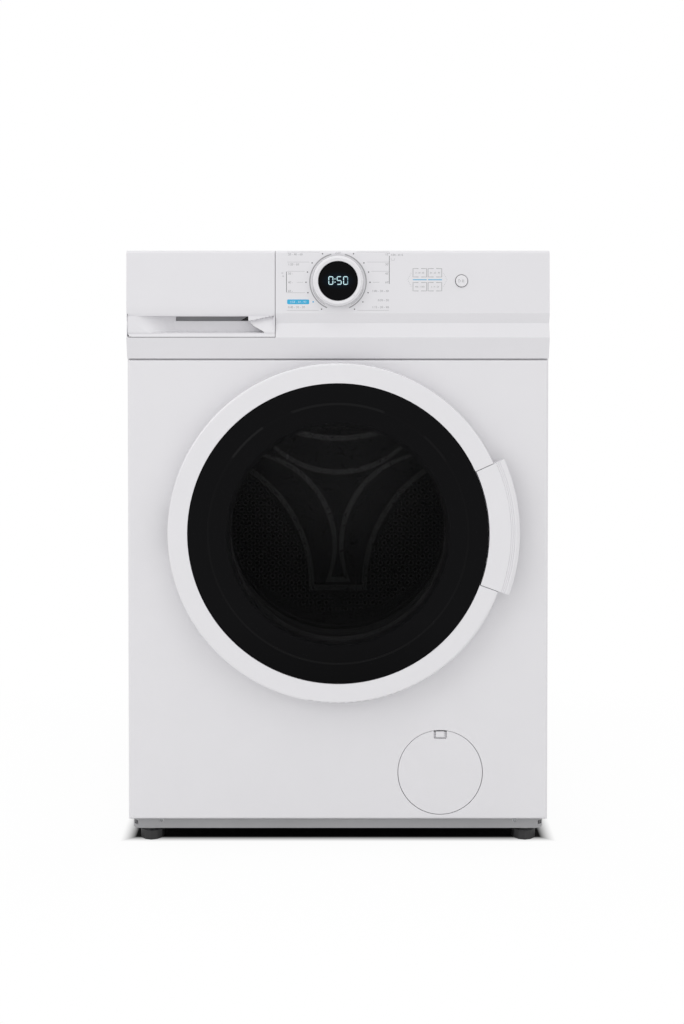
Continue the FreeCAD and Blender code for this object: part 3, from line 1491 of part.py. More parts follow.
def build():
    """Every sub-part of the machine."""
    made = [
        cabinet_shell(), back_panel(), service_cover(), worktop(), front_panel(), base_frame(), top_rails(),
        control_panel(), display_lens(), program_knob(), start_button(), control_board(),
        drawer_front(), drawer_tray(), drawer_siphon(), drawer_housing(),
        door_ring(), door_glass(), door_inner_frame(), door_bowl(), door_hinge(), hinge_bracket(),
        door_handle(), door_hook(), door_lock(), door_gasket(),
        filter_flap(), filter_frame(), pump_housing(), pump_filter_cap(), pump_impeller(), sump_hose(),
        tub_front(), tub_rear(), dispenser_hose(), counterweight("weight_upper", -155),
        counterweight("weight_lower", 25), heater(), drum(), drum_lifters(), drum_spider(), bearings(),
        drum_pulley(), motor(), motor_pulley(), drive_belt(), damper_pins(), inlet_valve(), drain_outlet(),
        transit_caps(),
    ]
    for name, side in (("left", "-"), ("right", "")):
        made += [tub_spring("spring_" + name, side), damper_cylinder("damper_tube_" + name, side),
                 damper_plunger("damper_rod_" + name, side)]
        for place, deep in (("front", "foot_front"), ("rear", "foot_rear")):
            made.append(foot("foot_%s_%s" % (place, name), side + "foot_x", deep))
    return made


def check(bodies):
    """Stop if any object failed, any pocket cut nothing or any sub-part isn't a sound solid."""
    faults = ["%s failed" % item.Label for item in DOC.Objects if {"Invalid", "Error"} & set(item.State)]
    for item in DOC.Objects:
        if item.TypeId in ("PartDesign::Pocket", "PartDesign::Groove") and not item.Shape.isNull():
            if item.Shape.Volume > item.BaseFeature.Shape.Volume - 0.5:
                faults.append("%s cuts nothing" % item.Label)
    for body in bodies:
        if body.Shape.isNull() or not body.Shape.isValid() or body.Shape.Volume < 1:
            faults.append("%s isn't a sound solid" % body.Label)
    if faults:
        raise RuntimeError("; ".join(faults))


def main():
    bodies = build()
    DOC.recompute()
    check(bodies)
    os.makedirs("parts", exist_ok=True)
    for body in bodies:
        body.Shape.exportStep("parts/%s.step" % body.Label)


main()
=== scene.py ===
"""Looks for the front load washing machine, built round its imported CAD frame."""
import json
import math

import bmesh
import bpy
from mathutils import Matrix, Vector
from mathutils.bvhtree import BVHTree


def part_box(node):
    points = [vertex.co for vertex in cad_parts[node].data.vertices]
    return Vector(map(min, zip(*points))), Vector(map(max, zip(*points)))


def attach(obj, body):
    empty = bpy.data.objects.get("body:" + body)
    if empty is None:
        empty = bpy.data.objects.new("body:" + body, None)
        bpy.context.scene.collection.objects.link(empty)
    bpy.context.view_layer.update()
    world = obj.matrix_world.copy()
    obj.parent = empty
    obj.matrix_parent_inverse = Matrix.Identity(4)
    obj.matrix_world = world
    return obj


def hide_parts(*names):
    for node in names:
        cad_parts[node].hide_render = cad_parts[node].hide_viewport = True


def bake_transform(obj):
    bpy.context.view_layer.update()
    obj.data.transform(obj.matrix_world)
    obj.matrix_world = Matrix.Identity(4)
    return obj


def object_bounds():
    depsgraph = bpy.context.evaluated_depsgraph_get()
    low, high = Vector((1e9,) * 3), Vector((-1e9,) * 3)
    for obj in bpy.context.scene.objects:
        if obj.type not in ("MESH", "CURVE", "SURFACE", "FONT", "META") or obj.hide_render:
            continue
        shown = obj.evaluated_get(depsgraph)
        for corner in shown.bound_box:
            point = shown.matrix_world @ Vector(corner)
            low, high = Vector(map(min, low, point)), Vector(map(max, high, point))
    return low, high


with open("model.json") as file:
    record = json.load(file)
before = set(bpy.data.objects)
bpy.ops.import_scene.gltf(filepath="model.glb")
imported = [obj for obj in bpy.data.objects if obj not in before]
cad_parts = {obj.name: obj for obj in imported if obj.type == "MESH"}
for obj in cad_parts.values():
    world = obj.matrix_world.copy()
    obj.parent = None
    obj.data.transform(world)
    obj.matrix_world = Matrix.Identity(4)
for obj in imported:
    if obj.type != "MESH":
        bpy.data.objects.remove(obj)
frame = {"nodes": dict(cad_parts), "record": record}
CAD_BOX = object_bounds()
NODES = frame["nodes"]
MM = 0.001
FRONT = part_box("front_panel")[0].y
DOOR_HEIGHT = (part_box("door_glass")[0].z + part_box("door_glass")[1].z) / 2
KNOB_HEIGHT = (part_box("program_knob")[0].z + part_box("program_knob")[1].z) / 2
START_X = (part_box("start_button")[0].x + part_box("start_button")[1].x) / 2


# Material tools

def shader(name):
    """A new material with one Principled shader."""
    material = bpy.data.materials.new(name)
    material.use_nodes = True
    return material, material.node_tree, material.node_tree.nodes["Principled BSDF"]


def node(tree, kind, **values):
    """A node with some of its properties and sockets set."""
    made = tree.nodes.new("ShaderNode" + kind)
    for key, value in values.items():
        if key in made.inputs:
            made.inputs[key].default_value = value
        else:
            setattr(made, key, value)
    return made


def place(tree):
    """The point on the object, in its own metres."""
    return node(tree, "TexCoord").outputs["Object"]


def noise(tree, size, detail=2.0, rough=0.5, stretch=None):
    """Noise whose blobs are about this many millimetres across."""
    made = node(tree, "TexNoise", Scale=1 / (size * MM), Detail=detail, Roughness=rough)
    point = place(tree)
    if stretch:
        mapping = node(tree, "Mapping", Scale=stretch)
        tree.links.new(point, mapping.inputs["Vector"])
        point = mapping.outputs[0]
    tree.links.new(point, made.inputs["Vector"])
    return made.outputs["Fac"]


def spread(tree, source, low, high, start=0.3, end=0.7):
    """A value carried from start..end over to low..high."""
    made = node(tree, "MapRange")
    for name, value in (("From Min", start), ("From Max", end), ("To Min", low), ("To Max", high)):
        made.inputs[name].default_value = value
    tree.links.new(source, made.inputs["Value"])
    return made.outputs["Result"]


def maths(tree, operation, first, second=None, third=None):
    """One Math node; each input is a socket or a number."""
    made = node(tree, "Math", operation=operation)
    for index, source in enumerate((first, second, third)):
        if source is None:
            continue
        if isinstance(source, (int, float)):
            made.inputs[index].default_value = source
        else:
            tree.links.new(source, made.inputs[index])
    return made.outputs[0]


def blend_colours(tree, factor, first, second):
    """A colour between two, each a tuple or a socket."""
    mix = node(tree, "Mix", data_type="RGBA")
    tree.links.new(factor, mix.inputs["Factor"])
    for index, source in ((6, first), (7, second)):
        if isinstance(source, tuple):
            mix.inputs[index].default_value = (*source, 1)
        else:
            tree.links.new(source, mix.inputs[index])
    return mix.outputs[2]


def raise_grain(tree, bsdf, heights, depth):
    """Bump from a height, depth in millimetres."""
    bump = node(tree, "Bump", Distance=depth * MM, Strength=1.0)
    tree.links.new(heights, bump.inputs["Height"])
    tree.links.new(bump.outputs[0], bsdf.inputs["Normal"])


def finish(name, colour, rough, grain, depth, cloud=0.02, metal=0.0, **sockets):
    """A surface whose colour clouds slightly, whose sheen is uneven, and which has a fine grain."""
    cloud_size, sheen_size = 60, 8
    material, tree, bsdf = shader(name)
    bsdf.inputs["Metallic"].default_value = metal
    for key, value in sockets.items():
        bsdf.inputs[key.replace("_", " ")].default_value = value
    dark = tuple(c * (1 - cloud) for c in colour)
    light = tuple(min(c * (1 + cloud), 1) for c in colour)
    clouds = spread(tree, noise(tree, cloud_size, 3), 0, 1)
    tree.links.new(blend_colours(tree, clouds, dark, light), bsdf.inputs["Base Color"])
    sheen = spread(tree, noise(tree, sheen_size, 2), rough * 0.88, rough * 1.12)
    tree.links.new(sheen, bsdf.inputs["Roughness"])
    raise_grain(tree, bsdf, noise(tree, grain, 2), depth)
    return material


def brushed(name, colour, rough, stretch, metal=1.0):
    """Metal with fine lines along the short side of the stretch."""
    material, tree, bsdf = shader(name)
    bsdf.inputs["Metallic"].default_value = metal
    lines = noise(tree, 1.2, 3, 0.6, stretch)
    dark = tuple(c * 0.82 for c in colour)
    tree.links.new(blend_colours(tree, lines, dark, colour), bsdf.inputs["Base Color"])
    tree.links.new(spread(tree, lines, rough * 0.8, rough * 1.25), bsdf.inputs["Roughness"])
    raise_grain(tree, bsdf, lines, 0.02)
    return material


def hypotenuse(tree, first, second):
    """The length of a vector with these two parts."""
    squares = [maths(tree, "MULTIPLY", part, part) for part in (first, second)]
    return maths(tree, "SQRT", maths(tree, "ADD", *squares))


def from_axis(tree, height):
    """The distance from an axis along Y at this height, then x, z and y from that axis, all in millimetres."""
    split = node(tree, "SeparateXYZ")
    tree.links.new(place(tree), split.inputs[0])
    x = maths(tree, "MULTIPLY", split.outputs["X"], 1 / MM)
    z = maths(tree, "MULTIPLY_ADD", split.outputs["Z"], 1 / MM, -height / MM)
    return hypotenuse(tree, x, z), x, z, maths(tree, "MULTIPLY", split.outputs["Y"], 1 / MM)


def smoked_glass(name):
    """The door's cover: a black printed border, painted darker towards the bottom as painted shade, and a
    smoked window in the middle.
    """
    window_edge, border_edge, smoke = 149, 157, 0.62
    material, tree, bsdf = shader(name)
    radius, _, z, _ = from_axis(tree, DOOR_HEIGHT)
    # Painted shade: the border's black is darker over its lowest part than higher up.
    shaded_lower_half = spread(tree, z, 0, 1, -205, -120)
    black = blend_colours(tree, shaded_lower_half, (0.0016, 0.0016, 0.0019), (0.0033, 0.0033, 0.0038))
    border = spread(tree, radius, 0, 1, window_edge, border_edge)
    colour = blend_colours(tree, border, (0.0004, 0.0004, 0.0006), black)
    tree.links.new(colour, bsdf.inputs["Base Color"])
    tree.links.new(spread(tree, radius, smoke, 1.0, window_edge, border_edge), bsdf.inputs["Alpha"])
    tree.links.new(spread(tree, noise(tree, 40, 2), 0.03, 0.06), bsdf.inputs["Roughness"])
    raise_grain(tree, bsdf, noise(tree, 120, 1), 0.02)
    bsdf.inputs["Specular IOR Level"].default_value = 0.05
    return material


def clear_glass(name):
    """The bowl: clear pressed glass with faint waves."""
    material, tree, bsdf = shader(name)
    bsdf.inputs["Base Color"].default_value = (0.05, 0.055, 0.055, 1)
    tree.links.new(spread(tree, noise(tree, 25, 2), 0.03, 0.05), bsdf.inputs["Alpha"])
    bsdf.inputs["Roughness"].default_value = 0.03
    raise_grain(tree, bsdf, noise(tree, 30, 1), 0.06)
    return material


def staggered_dots(tree, across, along, pitch, size):
    """1 inside round spots set in staggered rows, pitch and size in millimetres."""
    row_pitch = pitch * 0.866
    rows = maths(tree, "DIVIDE", along, row_pitch)
    row = maths(tree, "ROUND", rows)
    shift = maths(tree, "MULTIPLY", maths(tree, "PINGPONG", row, 1), 0.5)
    columns = maths(tree, "ADD", maths(tree, "DIVIDE", across, pitch), shift)
    column = maths(tree, "ROUND", columns)
    off_across = maths(tree, "MULTIPLY", maths(tree, "SUBTRACT", columns, column), pitch)
    off_along = maths(tree, "MULTIPLY", maths(tree, "SUBTRACT", rows, row), row_pitch)
    return spread(tree, hypotenuse(tree, off_across, off_along), 1, 0, size * 0.42, size * 0.58)


def drum_steel(name):
    """Stainless drum sheet: drain holes on the wall and between the star's arms, coloured black as painted
    shade, with light rims round the back's holes and a near-white raised star, both painted highlight.
    """
    hole_pitch, wall_hole, back_hole, rim_highlight_size = 13, 4.2, 5.2, 8.6
    wall_radius, back_radius, arm_reach = 238, 206, 101.5
    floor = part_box("drum")[1].y / MM - 1.2
    material, tree, bsdf = shader(name)
    radius, x, z, y = from_axis(tree, DOOR_HEIGHT)

    def overlap(*masks):
        """Where all of these masks are 1."""
        product = masks[0]
        for mask in masks[1:]:
            product = maths(tree, "MULTIPLY", product, mask)
        return product

    on_wall = spread(tree, radius, 0, 1, wall_radius - 7, wall_radius - 5)
    in_back = overlap(maths(tree, "SUBTRACT", 1, on_wall), spread(tree, y, 0, 1, 90, 92))
    level = overlap(in_back, spread(tree, y, 0, 1, floor - 1.2, floor - 0.6))
    # Painted highlight: the raised star in front of the back plate is coloured near white.
    star_highlight = overlap(spread(tree, y, 1, 0, floor - 2.6, floor - 1.4), in_back)
    reach = None
    for angle in (90, 210, 330):
        out_x = maths(tree, "MULTIPLY", x, math.cos(math.radians(angle)))
        out_z = maths(tree, "MULTIPLY", z, math.sin(math.radians(angle)))
        out = maths(tree, "ADD", out_x, out_z)
        reach = out if reach is None else maths(tree, "MAXIMUM", reach, out)
    between = overlap(spread(tree, reach, 0, 1, arm_reach - 1.5, arm_reach + 1.5),
                      spread(tree, radius, 1, 0, back_radius - 1, back_radius + 1), level)
    turn = maths(tree, "MULTIPLY", maths(tree, "ARCTAN2", z, x), wall_radius)
    wall_holes = overlap(staggered_dots(tree, turn, y, hole_pitch, wall_hole), on_wall)
    back_holes = overlap(staggered_dots(tree, x, z, hole_pitch, back_hole), between)
    # Painted highlight: a light ring of steel round each hole in the back.
    rim_highlight = overlap(staggered_dots(tree, x, z, hole_pitch, rim_highlight_size), between)
    holes = maths(tree, "ADD", wall_holes, back_holes)
    lines = noise(tree, 1.5, 3, 0.6, (0.15, 1, 0.15))
    steel = blend_colours(tree, lines, (0.27, 0.27, 0.285), (0.37, 0.37, 0.385))
    steel = blend_colours(tree, star_highlight, steel, (0.95, 0.95, 0.97))
    steel = blend_colours(tree, rim_highlight, steel, (0.72, 0.72, 0.74))
    # Painted shade: the holes are coloured near black for the dark seen through them.
    tree.links.new(blend_colours(tree, holes, steel, (0.004, 0.004, 0.004)), bsdf.inputs["Base Color"])
    tree.links.new(maths(tree, "SUBTRACT", 1, holes), bsdf.inputs["Metallic"])
    tree.links.new(spread(tree, lines, 0.24, 0.38), bsdf.inputs["Roughness"])
    raise_grain(tree, bsdf, maths(tree, "MULTIPLY", holes, -1.0), 1.2)
    return material


def foot_finish(name):
    """A levelling foot: rubber up to the top of the puck, plated steel above it."""
    puck_top = 13.1 * MM
    material, tree, bsdf = shader(name)
    split = node(tree, "SeparateXYZ")
    tree.links.new(place(tree), split.inputs[0])
    metal = spread(tree, split.outputs["Z"], 0, 1, puck_top, puck_top + 0.4 * MM)
    grain = noise(tree, 1.2, 2)
    rubber = blend_colours(tree, grain, (0.016, 0.016, 0.017), (0.028, 0.028, 0.029))
    plate = blend_colours(tree, grain, (0.50, 0.51, 0.52), (0.62, 0.62, 0.63))
    tree.links.new(blend_colours(tree, metal, rubber, plate), bsdf.inputs["Base Color"])
    tree.links.new(maths(tree, "MULTIPLY", metal, 0.7), bsdf.inputs["Metallic"])
    tree.links.new(spread(tree, grain, 0.45, 0.65), bsdf.inputs["Roughness"])
    raise_grain(tree, bsdf, grain, 0.05)
    return material


def glowing(name, colour, strength):
    """A lit display segment, slightly uneven along its length."""
    material, tree, bsdf = shader(name)
    bsdf.inputs["Base Color"].default_value = (0.01, 0.02, 0.03, 1)
    bsdf.inputs["Emission Color"].default_value = (*colour, 1)
    uneven = spread(tree, noise(tree, 2.5, 1), strength * 0.88, strength * 1.12)
    tree.links.new(uneven, bsdf.inputs["Emission Strength"])
    return material


WHITE = (0.762, 0.754, 0.776)
LOOKS = {
    "body_white": finish("body_white", WHITE, 0.36, 1.6, 0.012, 0.006),
    "panel_white": finish("panel_white", (0.752, 0.744, 0.768), 0.42, 0.7, 0.008, 0.006),
    "trim_white": finish("trim_white", (0.770, 0.762, 0.785), 0.24, 1.1, 0.006, 0.006, Coat_Weight=0.3,
                         Coat_Roughness=0.08),
    "cover_black": finish("cover_black", (0.0035, 0.0035, 0.004), 0.07, 30, 0.01, 0.1, Specular_IOR_Level=0.3),
    "clear_glass": clear_glass("clear_glass"),
    "rubber_grey": finish("rubber_grey", (0.20, 0.205, 0.21), 0.62, 0.9, 0.05, 0.06),
    "rubber_dark": finish("rubber_dark", (0.018, 0.018, 0.019), 0.6, 0.9, 0.06, 0.15),
    "plinth_grey": finish("plinth_grey", (0.32, 0.32, 0.328), 0.5, 0.8, 0.03, 0.03),
    "tub_plastic": finish("tub_plastic", (0.5, 0.51, 0.52), 0.55, 1.2, 0.08, 0.05),
    "drawer_grey": finish("drawer_grey", (0.60, 0.62, 0.65), 0.4, 0.9, 0.02, 0.03),
    "siphon_blue": finish("siphon_blue", (0.06, 0.22, 0.55), 0.4, 0.9, 0.02, 0.05),
    "zinc": brushed("zinc", (0.55, 0.56, 0.57), 0.42, (1, 1, 0.1), 0.9),
    "stainless": brushed("stainless", (0.6, 0.6, 0.6), 0.3, (1, 0.1, 1)),
    "cast_aluminium": finish("cast_aluminium", (0.55, 0.55, 0.56), 0.5, 1.5, 0.25, 0.06, metal=0.85),
    "cast_iron": finish("cast_iron", (0.16, 0.158, 0.155), 0.85, 2.2, 0.6, 0.15),
    "board_dark": finish("board_dark", (0.03, 0.05, 0.035), 0.55, 1.4, 0.05, 0.1),
    "laminate": finish("laminate", (0.765, 0.757, 0.780), 0.45, 1.0, 0.03, 0.008),
    "black_plastic": finish("black_plastic", (0.02, 0.02, 0.021), 0.5, 0.8, 0.03, 0.12),
}
SLOT_OF = {part["node"]: part["material_slot"] for part in frame["record"]["subparts"]}
for name, item in NODES.items():
    item.data.materials.clear()
    item.data.materials.append(LOOKS[SLOT_OF[name]])
NODES["door_glass"].data.materials[0] = smoked_glass("smoked_glass")
NODES["drum"].data.materials[0] = drum_steel("drum_steel")
for name in NODES:
    if name.startswith("foot_"):
        NODES[name].data.materials.clear()
        NODES[name].data.materials.append(foot_finish("foot_finish_" + name))


# Mesh tools; outlines are in millimetres

def mesh_piece(name, verts, faces, look, body=None, crease=35):
    """A mesh in millimetres as a piece in the finish's slot; it rides on a body when one is given."""
    data = bpy.data.meshes.new(name)
    data.from_pydata([(x * MM, y * MM, z * MM) for x, y, z in verts], [], faces)
    tidy = bmesh.new()
    tidy.from_mesh(data)
    bmesh.ops.remove_doubles(tidy, verts=tidy.verts, dist=0.002 * MM)
    bmesh.ops.recalc_face_normals(tidy, faces=tidy.faces)
    tidy.to_mesh(data)
    tidy.free()
    data.shade_smooth()
    data.set_sharp_from_angle(angle=math.radians(crease))
    data.materials.append(look)
    made = bpy.data.objects.new(name, data)
    bpy.context.scene.collection.objects.link(made)
    if body:
        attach(made, body)
    return made


def lathe(profile, centre, axis, steps):
    """Vertices and faces of a closed profile of (radius, along) turned round a line through the centre."""
    verts, faces = [], []
    count = len(profile)
    for step in range(steps):
        turn = 2 * math.pi * step / steps
        for radius, along in profile:
            a, b = radius * math.cos(turn), radius * math.sin(turn)
            spot = (a, along, b) if axis == "Y" else (a, b, along)
            verts.append(tuple(c + d for c, d in zip(centre, spot)))
    for step in range(steps):
        this, following = step * count, (step + 1) % steps * count
        for index in range(count):
            beside = (index + 1) % count
            faces.append((this + index, this + beside, following + beside, following + index))
    return verts, faces


def tube(points, radius):
    """Vertices and faces of a round wire along the points, with flat ends."""
    sides = 8
    verts, faces = [], []
    side = None
    for index, point in enumerate(points):
        before = Vector(points[max(index - 1, 0)])
        after = Vector(points[min(index + 1, len(points) - 1)])
        ahead = (after - before).normalized()
        side = ahead.orthogonal() if side is None else side - ahead * side.dot(ahead)
        side.normalize()
        up = ahead.cross(side)
        for step in range(sides):
            turn = 2 * math.pi * step / sides
            verts.append(tuple(Vector(point) + (side * math.cos(turn) + up * math.sin(turn)) * radius))
    for index in range(len(points) - 1):
        for step in range(sides):
            this, beside = index * sides + step, index * sides + (step + 1) % sides
            faces.append((this, beside, beside + sides, this + sides))
    faces.append(tuple(range(sides)))
    faces.append(tuple(range(len(verts) - sides, len(verts))))
    return verts, faces


def loft(layers, verts=(), faces=()):
    """Vertices and faces of a closed solid through layers of (outline in x and z, y), after those given."""
    verts, faces = list(verts), list(faces)
    first, count = len(verts), len(layers[0][0])
    last = first + (len(layers) - 1) * count
    for outline, y in layers:
        verts += [(x, y, z) for x, z in outline]
    faces += [tuple(range(first, first + count)), tuple(range(last + count - 1, last - 1, -1))]
    for base in range(first, last, count):
        for index in range(count):
            beside = (index + 1) % count
            faces.append((base + index, base + beside, base + beside + count, base + index + count))
    return verts, faces


# Printed marks: flat outlines in (x, z) laid on a node's front

SKINS = {}


def stroke(points, width):
    """A ribbon along the points."""
    verts, faces = [], []
    for index, point in enumerate(points):
        before, after = points[max(index - 1, 0)], points[min(index + 1, len(points) - 1)]
        length = math.dist(before, after)
        off_x = (before[1] - after[1]) / length * width / 2
        off_z = (after[0] - before[0]) / length * width / 2
        verts += [(point[0] + off_x, point[1] + off_z), (point[0] - off_x, point[1] - off_z)]
    for index in range(0, len(verts) - 2, 2):
        faces.append((index, index + 1, index + 3, index + 2))
    return verts, faces


def from_top(radius, angle, x=0.0, z=0.0):
    """The point at this angle clockwise from the top of a circle."""
    return x + radius * math.sin(math.radians(angle)), z + radius * math.cos(math.radians(angle))


def arc(radius, width, start, end, x=0.0, z=0.0):
    """A ribbon along a stretch of a circle, angles clockwise from the top."""
    steps = max(2, round(radius * math.radians(abs(end - start)) / 1.2))
    return stroke([from_top(radius, start + (end - start) * i / steps, x, z) for i in range(steps + 1)], width)


def disc(x, z, radius, steps=14):
    """A filled circle."""
    return [from_top(radius, 360 * i / steps, x, z) for i in range(steps)], [tuple(range(steps))]


def rounded(left, low, right, high, radius):
    """A filled rectangle with round corners."""
    points = []
    corners = ((right - radius, high - radius), (right - radius, low + radius),
               (left + radius, low + radius), (left + radius, high - radius))
    for quarter, (x, z) in enumerate(corners):
        points += [from_top(radius, 90 * quarter + 15 * i, x, z) for i in range(7)]
    return points, [tuple(range(len(points)))]


def letters(text, height, x, z, align="LEFT"):
    """Plain figures of this cap height, centred on z."""
    curve = bpy.data.curves.new("letters", "FONT")
    curve.body = text
    curve.size = height / 0.69
    curve.align_x = align
    curve.resolution_u = 2
    curve.fill_mode = "FRONT"
    holder = bpy.data.objects.new("letters", curve)
    bpy.context.scene.collection.objects.link(holder)
    bpy.context.view_layer.update()
    mesh = bpy.data.meshes.new_from_object(holder)
    verts = [(x + v.co.x, z + v.co.y - height / 2) for v in mesh.vertices]
    faces = [tuple(p.vertices) for p in mesh.polygons]
    bpy.data.objects.remove(holder)
    bpy.data.curves.remove(curve)
    bpy.data.meshes.remove(mesh)
    return verts, faces


def touch(node_name, x, z, facing=-1):
    """The y of a node's outer face, seen from the front or from behind, at (x, z)."""
    data = NODES[node_name].data
    if node_name not in SKINS:
        SKINS[node_name] = BVHTree.FromPolygons([v.co for v in data.vertices],
                                                [tuple(p.vertices) for p in data.polygons])
    for nudge in (0, 0.013, -0.017):
        start = Vector(((x + nudge) * MM, facing, (z + nudge) * MM))
        hit = SKINS[node_name].ray_cast(start, Vector((0, -facing, 0)))[0]
        if hit:
            return hit.y / MM
    raise ValueError("%s has no face at %.2f, %.2f" % (node_name, x, z))


def printed(name, flats, look, node_name, body="cabinet", proud=0.10):
    """Flat marks as a thin film on the front of a node."""
    verts, faces = [], []
    for points, polygons in flats:
        first = len(verts)
        for x, z in points:
            verts.append((x, touch(node_name, x, z) - proud, z))
        faces += [tuple(first + i for i in polygon) for polygon in polygons]
    film = bmesh.new()
    corners = [film.verts.new(v) for v in verts]
    for polygon in faces:
        film.faces.new([corners[i] for i in polygon])
    bmesh.ops.remove_doubles(film, verts=film.verts, dist=0.001)
    grown = bmesh.ops.extrude_face_region(film, geom=film.faces[:], use_keep_orig=True)
    for item in grown["geom"]:
        if isinstance(item, bmesh.types.BMVert):
            item.co.y += proud * 1.6
    film.verts.index_update()
    solid = [tuple(v.co) for v in film.verts], [tuple(v.index for v in f.verts) for f in film.faces]
    film.free()
    return mesh_piece(name, *solid, look, body, crease=20)


# The control panel's prints

KNOB_Z = KNOB_HEIGHT / MM
DIAL_Z = KNOB_Z - 1.2
DISPLAY_RISE = 0.5
DOT_RING = 45
LABEL_X = 71.5
STOPS = (29, 54, 72.5, 91, 110, 129, 149)
LABELS = {
    -1: ("20 - 40 - 60", "1:20 - 60", "30 -", "40 -", "60 -", "", "0:45 - 20 - 30"),
    1: ("15'", "30'", "45'", "60'", "1:00 - 30 - 40", "0:30 - 30", "1:15 - 20 - 40"),
}
LINE_RISE = (2.4, 1.2, 1.2, 0, 0, 0, 0)
TEXT_RISE = (-3.2, -3.2, -3.2, 0, 2.4, 2.4, 2.9)
THROUGH_ROW, BADGE_ROW = 3, 5
SMALL_FIGURES = (
    ("OFF", 3.0, 0, 38.9, "CENTER"), ("60", 1.8, -79.5, 11, "LEFT"), ("90", 1.8, -78.5, 6.5, "LEFT"),
    ("1:00 - 0:15", 2.8, 74.0, 36.5, "LEFT"),
)


def label_rows(side):
    """One side's rows: dot, line's height or None, line's end, figures' height, and the figures."""
    labels = LABELS[side]
    for index, (angle, label) in enumerate(zip(STOPS, labels)):
        dot = from_top(DOT_RING, angle * side, 0, DIAL_Z)
        line = text = dot[1] + LINE_RISE[index]
        end = LABEL_X
        if index == THROUGH_ROW:
            text, end = dot[1], 58
        else:
            text += TEXT_RISE[index]
        if index == len(STOPS) - 1:
            line -= 1.6
        has_line = label and not (side > 0 and index in (4, 5))
        yield dot, line if has_line else None, end * side, text, label


def dial_prints():
    """The arc and dots round the knob, the lines to the labels, and the figures that name the programs."""
    grey = finish("print_grey", (0.34, 0.34, 0.35), 0.5, 0.6, 0.002, 0.05)
    dark = finish("print_dark", (0.13, 0.13, 0.135), 0.5, 0.6, 0.002, 0.05)
    blue = finish("print_blue", (0.03, 0.40, 0.67), 0.45, 0.6, 0.002, 0.05)
    white = finish("print_white", (0.55, 0.72, 0.80), 0.5, 0.6, 0.002, 0.03)
    faint, marks = [], []
    for side in (-1, 1):
        faint.append(arc(39.6, 1.5, 14 * side, 157 * side, 0, DIAL_Z))
        faint.append(arc(36.9, 0.4, 105 * side, 150 * side, 0, DIAL_Z))
    badge_dot = from_top(DOT_RING, -STOPS[BADGE_ROW], 0, DIAL_Z)
    badge_z = badge_dot[1]
    for side in (-1, 1):
        for dot, line, end, text, label in label_rows(side):
            if dot != badge_dot:
                marks.append(disc(*dot, 0.95))
            if line is not None:
                faint.append(stroke([(dot[0] + 4 * side, line), (end, line)], 0.32))
            if label:
                start = LABEL_X if side > 0 else 1.2 - LABEL_X
                faint.append(letters(label, 3.0, start, text, "RIGHT" if side > 0 else "LEFT"))
    for text, height, x, rise, align in SMALL_FIGURES:
        faint.append(letters(text, height, x, KNOB_Z + rise, align))
    tray = [(74.6, 31.5), (74.6, 29), (79.4, 29), (79.4, 31.5)]
    faint.append(stroke([(x, KNOB_Z + z) for x, z in tray], 0.35))
    printed("print_labels", faint, grey, "control_panel")
    for x, top, low in ((-LABEL_X - 0.9, 13, -16), (LABEL_X + 0.6, 39.5, -4.2)):
        marks.append(stroke([(x, KNOB_Z + top), (x, KNOB_Z + low)], 0.75))
    printed("print_marks", marks, dark, "control_panel")
    badge = rounded(-LABEL_X, badge_z - 3.2, 31 - LABEL_X, badge_z + 3.4, 1.6)
    printed("print_badge", [badge, disc(*badge_dot, 1.05)], blue, "control_panel")
    figures = letters("0:58 - 60 - 90", 2.9, 15.5 - LABEL_X, badge_z, "CENTER")
    printed("print_badge_figures", [figures], white, "control_panel", proud=0.2)


def key_outline(x, z, half_x, half_z, gap):
    """A touch key's outline with a gap in the middle of its top and bottom."""
    return [
        stroke([(x + side * gap, z + half_z), (x + side * half_x, z + half_z), (x + side * half_x, z - half_z),
                (x + side * gap, z - half_z)], 0.8)
        for side in (-1, 1)
    ]


def option_prints():
    """The touch keys, the two blue lines between them, their dotted brackets, and the start key's sign."""
    grey, blue = bpy.data.materials["print_grey"], bpy.data.materials["print_blue"]
    middle_x, middle_z = 125.6, KNOB_Z + 1.6
    off_x, off_z = 10.6, 9.8
    flats, lines = [], []
    for index, label in enumerate(("0 : 30 : 60", "20 - 60 - 90", "400 - 1200", "3 - 9 - 24")):
        x = middle_x + (-off_x if index % 2 == 0 else off_x)
        z = middle_z + (off_z if index < 2 else -off_z)
        flats += key_outline(x, z, 9.6, 5.9, 1.9)
        flats.append(letters(label, 2.1, x, z, "CENTER"))
    for side in (-1, 1):
        lines.append(stroke([(middle_x + side * 0.9, middle_z), (middle_x + side * 20.5, middle_z)], 1.1))
        for step in range(9):
            turn = -1 + step / 4
            flats.append(disc(middle_x + side * (27.5 - 4.5 * abs(turn)), middle_z + 9 * turn, 0.4, 8))
    printed("print_keys", flats, grey, "control_panel")
    printed("print_key_lines", lines, blue, "control_panel")
    x, z = START_X / MM, KNOB_Z
    play = stroke([(x - 4.2, z + 2.3), (x - 4.2, z - 2.3), (x - 1.0, z), (x - 4.2, z + 2.3)], 0.5)
    bars = [stroke([(x + off, z + 2.1), (x + off, z - 2.1)], 0.6) for off in (1.1, 2.9)]
    printed("print_start", [play] + bars, grey, "start_button", "start_key")


SEGMENTS = {"0": "abcdef", "5": "afgcd"}
BAR_ENDS = {
    "a": ((-1, 1), (1, 1)), "b": ((1, 1), (1, 0)), "c": ((1, 0), (1, -1)), "d": ((1, -1), (-1, -1)),
    "e": ((-1, -1), (-1, 0)), "f": ((-1, 0), (-1, 1)), "g": ((-1, 0), (1, 0)),
}


